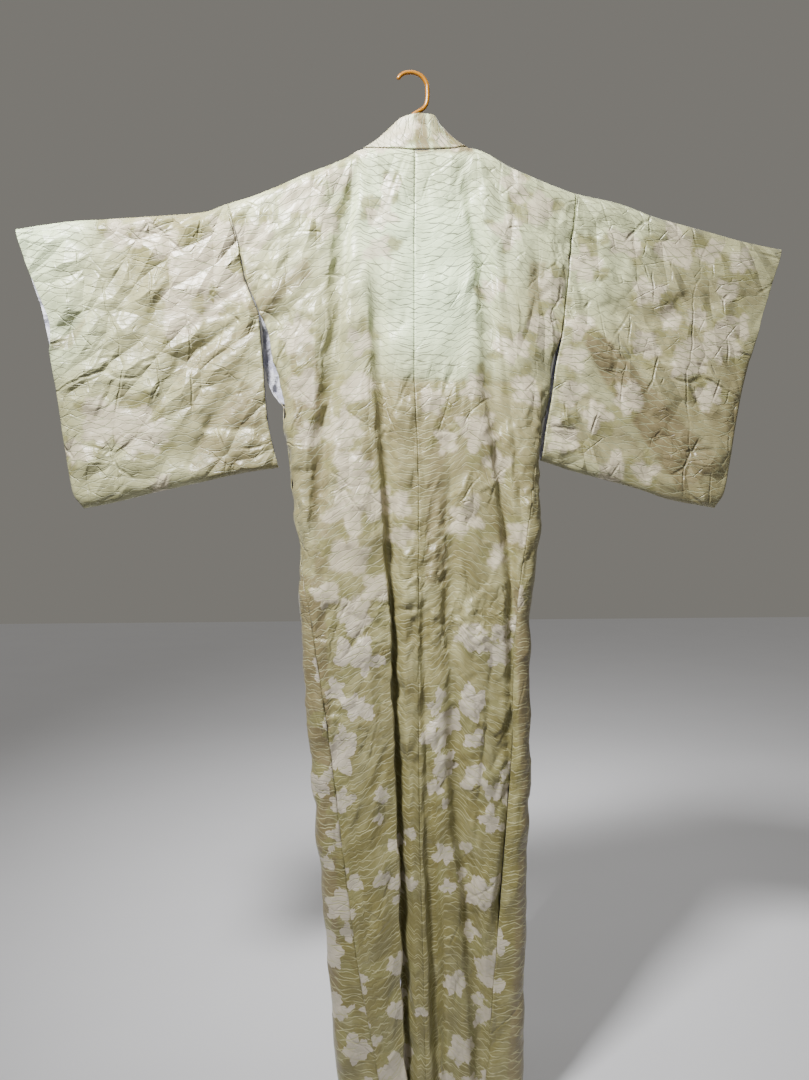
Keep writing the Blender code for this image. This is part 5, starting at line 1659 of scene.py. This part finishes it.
def bar(path, radius, sides=24):
    """A round bar carried along a path, with rounded ends: points, and the faces that join them."""
    tangent = slope_of(path)
    side = np.array([0.0, 1.0, 0.0])
    up = np.cross(tangent, side)
    up /= np.linalg.norm(up, axis=1, keepdims=True)
    turn = np.arange(sides) * 2 * np.pi / sides
    ends = np.array([0.02, 0.5, 0.85, 1.0])
    scale = np.ones(len(path))
    scale[:4] = ends
    scale[-4:] = ends[::-1]
    path = path.copy()
    cap = radius * np.sqrt(1 - ends**2)
    path[:4] = path[4] - tangent[4] * (radius * 0.4 + cap[:, None])
    path[-4:] = (path[-5] + tangent[-5] * (radius * 0.4 + cap[:, None]))[::-1]
    ring = np.cos(turn)[None, :, None] * side + np.sin(turn)[None, :, None] * up[:, None]
    points = path[:, None] + ring * (radius * scale)[:, None, None]
    index = np.arange(len(path) * sides).reshape(len(path), sides)
    faces = grid_faces(np.concatenate([index, index[:, :1]], axis=1), False)
    outer = points.reshape(-1, 3)
    first = faces[5 * sides]
    normal = np.cross(outer[first[2]] - outer[first[0]], outer[first[3]] - outer[first[1]])
    flip = normal @ (outer[first[0]] - path[5]) < 0
    caps = [index[0], index[-1][::-1]]
    if flip:
        faces = faces[:, ::-1]
    if np.cross(outer[caps[0][1]] - outer[caps[0][0]],
        outer[caps[0][2]] - outer[caps[0][0]]) @ tangent[0] > 0:
        caps = [cap[::-1] for cap in caps]
    return outer, [face.tolist() for face in faces] + [cap.tolist() for cap in caps]


class RobeHanger(bpy.types.Operator):
    """Make the moulded plastic hanger: two sloping arms and a hook."""

    bl_idname = "robe.hanger"
    bl_label = "Hanger"

    def execute(self, context):
        settings = context.scene.robe_hanger
        hook, hook_faces = bar(hook_path(), settings.hook_radius / MILLIMETRE)
        arms, arm_faces = bar(arms_path(), settings.arm_radius / MILLIMETRE)
        points = np.concatenate([hook, arms]) * MILLIMETRE
        arm_faces = [[number + len(hook) for number in face] for face in arm_faces]
        mesh = bpy.data.meshes.new("hanger_moulding")
        mesh.from_pydata(points.tolist(), [], hook_faces + arm_faces)
        mesh.shade_smooth()
        mesh.materials.append(plastic())
        piece = bpy.data.objects.new("hanger_moulding", mesh)
        context.scene.collection.objects.link(piece)
        dress(piece, "hanger")
        return {"FINISHED"}


FLOOR_REACH = 9.0
FLOOR_LEVEL = -1.86
FLOOR_SHADE = "CBCBCE"
STUDIO_COLOUR = "EAE6DC"
STUDIO_STRENGTH = 0.24
OVERHEAD_SPREAD = 20
SENSOR_WIDTH = 36.0
CAMERA_PLACE = (-0.1362, -1.425, -0.8216)
CAMERA_TURN = (90, 0, -5)
# Soft lamps: name, side in metres, spread in degrees, where each stands and what it faces.
LAMPS = (
    ("key", 0.4, 70, (-1.0, -1.25, 1.15), (-0.22, 0.0, -0.12)),
    ("fill", 2.0, 120, (0.6, -2.4, -0.3), (0.0, 0.0, -0.8)),
    ("back", 2.5, 120, (0.6, 2.6, 0.6), (0.0, 0.0, -0.8)),
)


class RobeStage(bpy.types.Operator):
    """Make the plain floor, the soft studio lights and the camera."""

    bl_idname = "robe.stage"
    bl_label = "Stage"

    def execute(self, context):
        stage = context.scene.robe_stage
        floor = bpy.data.meshes.new("floor")
        reach, level = FLOOR_REACH, FLOOR_LEVEL
        corners = [(-reach, -reach, level), (reach, -reach, level), (reach, reach, level), (-reach, reach,
            level)]
        floor.from_pydata(corners, [], [(0, 1, 2, 3)])
        material, tree, shader = new_material("matt paper backdrop")
        place = add_node(tree, "ShaderNodeTexCoord").outputs["Object"]
        grain = add_node(tree, "ShaderNodeTexNoise", None, Vector=place, Scale=3.0).outputs["Fac"]
        tone = add_node(
            tree,
            "ShaderNodeMix",
            {"data_type": "RGBA"},
            n0=grain,
            n6=hex_colour(stage.floor),
            n7=hex_colour(FLOOR_SHADE),
        ).outputs[2]
        tree.links.new(tone, shader.inputs["Base Color"])
        shader.inputs["Roughness"].default_value = 0.9
        floor.materials.append(material)
        ground = bpy.data.objects.new("floor", floor)
        context.scene.collection.objects.link(ground)
        for name, size, spread, place, aim in LAMPS:
            light = bpy.data.lights.new(name, "AREA")
            light.energy = getattr(stage, name)
            light.size = size
            light.spread = math.radians(spread)
            lamp = bpy.data.objects.new(name, light)
            lamp.location = place
            away = np.array(place) - np.array(aim)
            lamp.rotation_euler = (
                math.atan2(math.hypot(away[0], away[1]), away[2]),
                0.0,
                math.atan2(away[0], -away[1]),
            )
            context.scene.collection.objects.link(lamp)
        overhead = bpy.data.lights.new("overhead", "SUN")
        overhead.energy = stage.overhead
        overhead.angle = math.radians(OVERHEAD_SPREAD)
        context.scene.collection.objects.link(bpy.data.objects.new("overhead", overhead))
        world = bpy.data.worlds.new("studio")
        world.use_nodes = True
        sky = world.node_tree.nodes["Background"]
        sky.inputs["Color"].default_value = hex_colour(STUDIO_COLOUR)
        sky.inputs["Strength"].default_value = STUDIO_STRENGTH
        context.scene.world = world
        camera = bpy.data.cameras.new("camera")
        camera.lens = stage.lens
        camera.sensor_width = SENSOR_WIDTH
        eye = bpy.data.objects.new("camera", camera)
        eye.location = CAMERA_PLACE
        eye.rotation_euler = [math.radians(angle) for angle in CAMERA_TURN]
        context.scene.collection.objects.link(eye)
        context.scene.camera = eye
        return {"FINISHED"}


class RobePanel(bpy.types.Panel):
    """Lists the robe's pieces."""

    bl_idname = "VIEW3D_PT_robe"
    bl_label = "Kimono robe"
    bl_space_type = "VIEW_3D"
    bl_region_type = "UI"
    bl_category = "Robe"

    def draw(self, context):
        for settings in (context.scene.robe_cloth, context.scene.robe_hanger, context.scene.robe_stage):
            box = self.layout.box()
            for name in settings.__annotations__:
                box.prop(settings, name)
        for operator in OPERATORS:
            self.layout.operator(operator.bl_idname)


SETTINGS = {
    "robe_cloth": RobeClothSettings,
    "robe_hanger": RobeHangerSettings,
    "robe_stage": RobeStageSettings,
}
OPERATORS = (RobeStage, RobeBackPanels, RobeFrontPanels, RobeSleeves, RobeCollar, RobeLining, RobeHanger)


def register():
    for item in (*SETTINGS.values(), *OPERATORS, RobePanel):
        bpy.utils.register_class(item)
    for name, group in SETTINGS.items():
        setattr(bpy.types.Scene, name, bpy.props.PointerProperty(type=group))


def unregister():
    for name in SETTINGS:
        delattr(bpy.types.Scene, name)
    for item in (RobePanel, *OPERATORS, *SETTINGS.values()):
        bpy.utils.unregister_class(item)


def main():
    register()
    for operator in OPERATORS:
        category, name = operator.bl_idname.split(".")
        getattr(getattr(bpy.ops, category), name)()


if __name__ == "__main__":
    main()
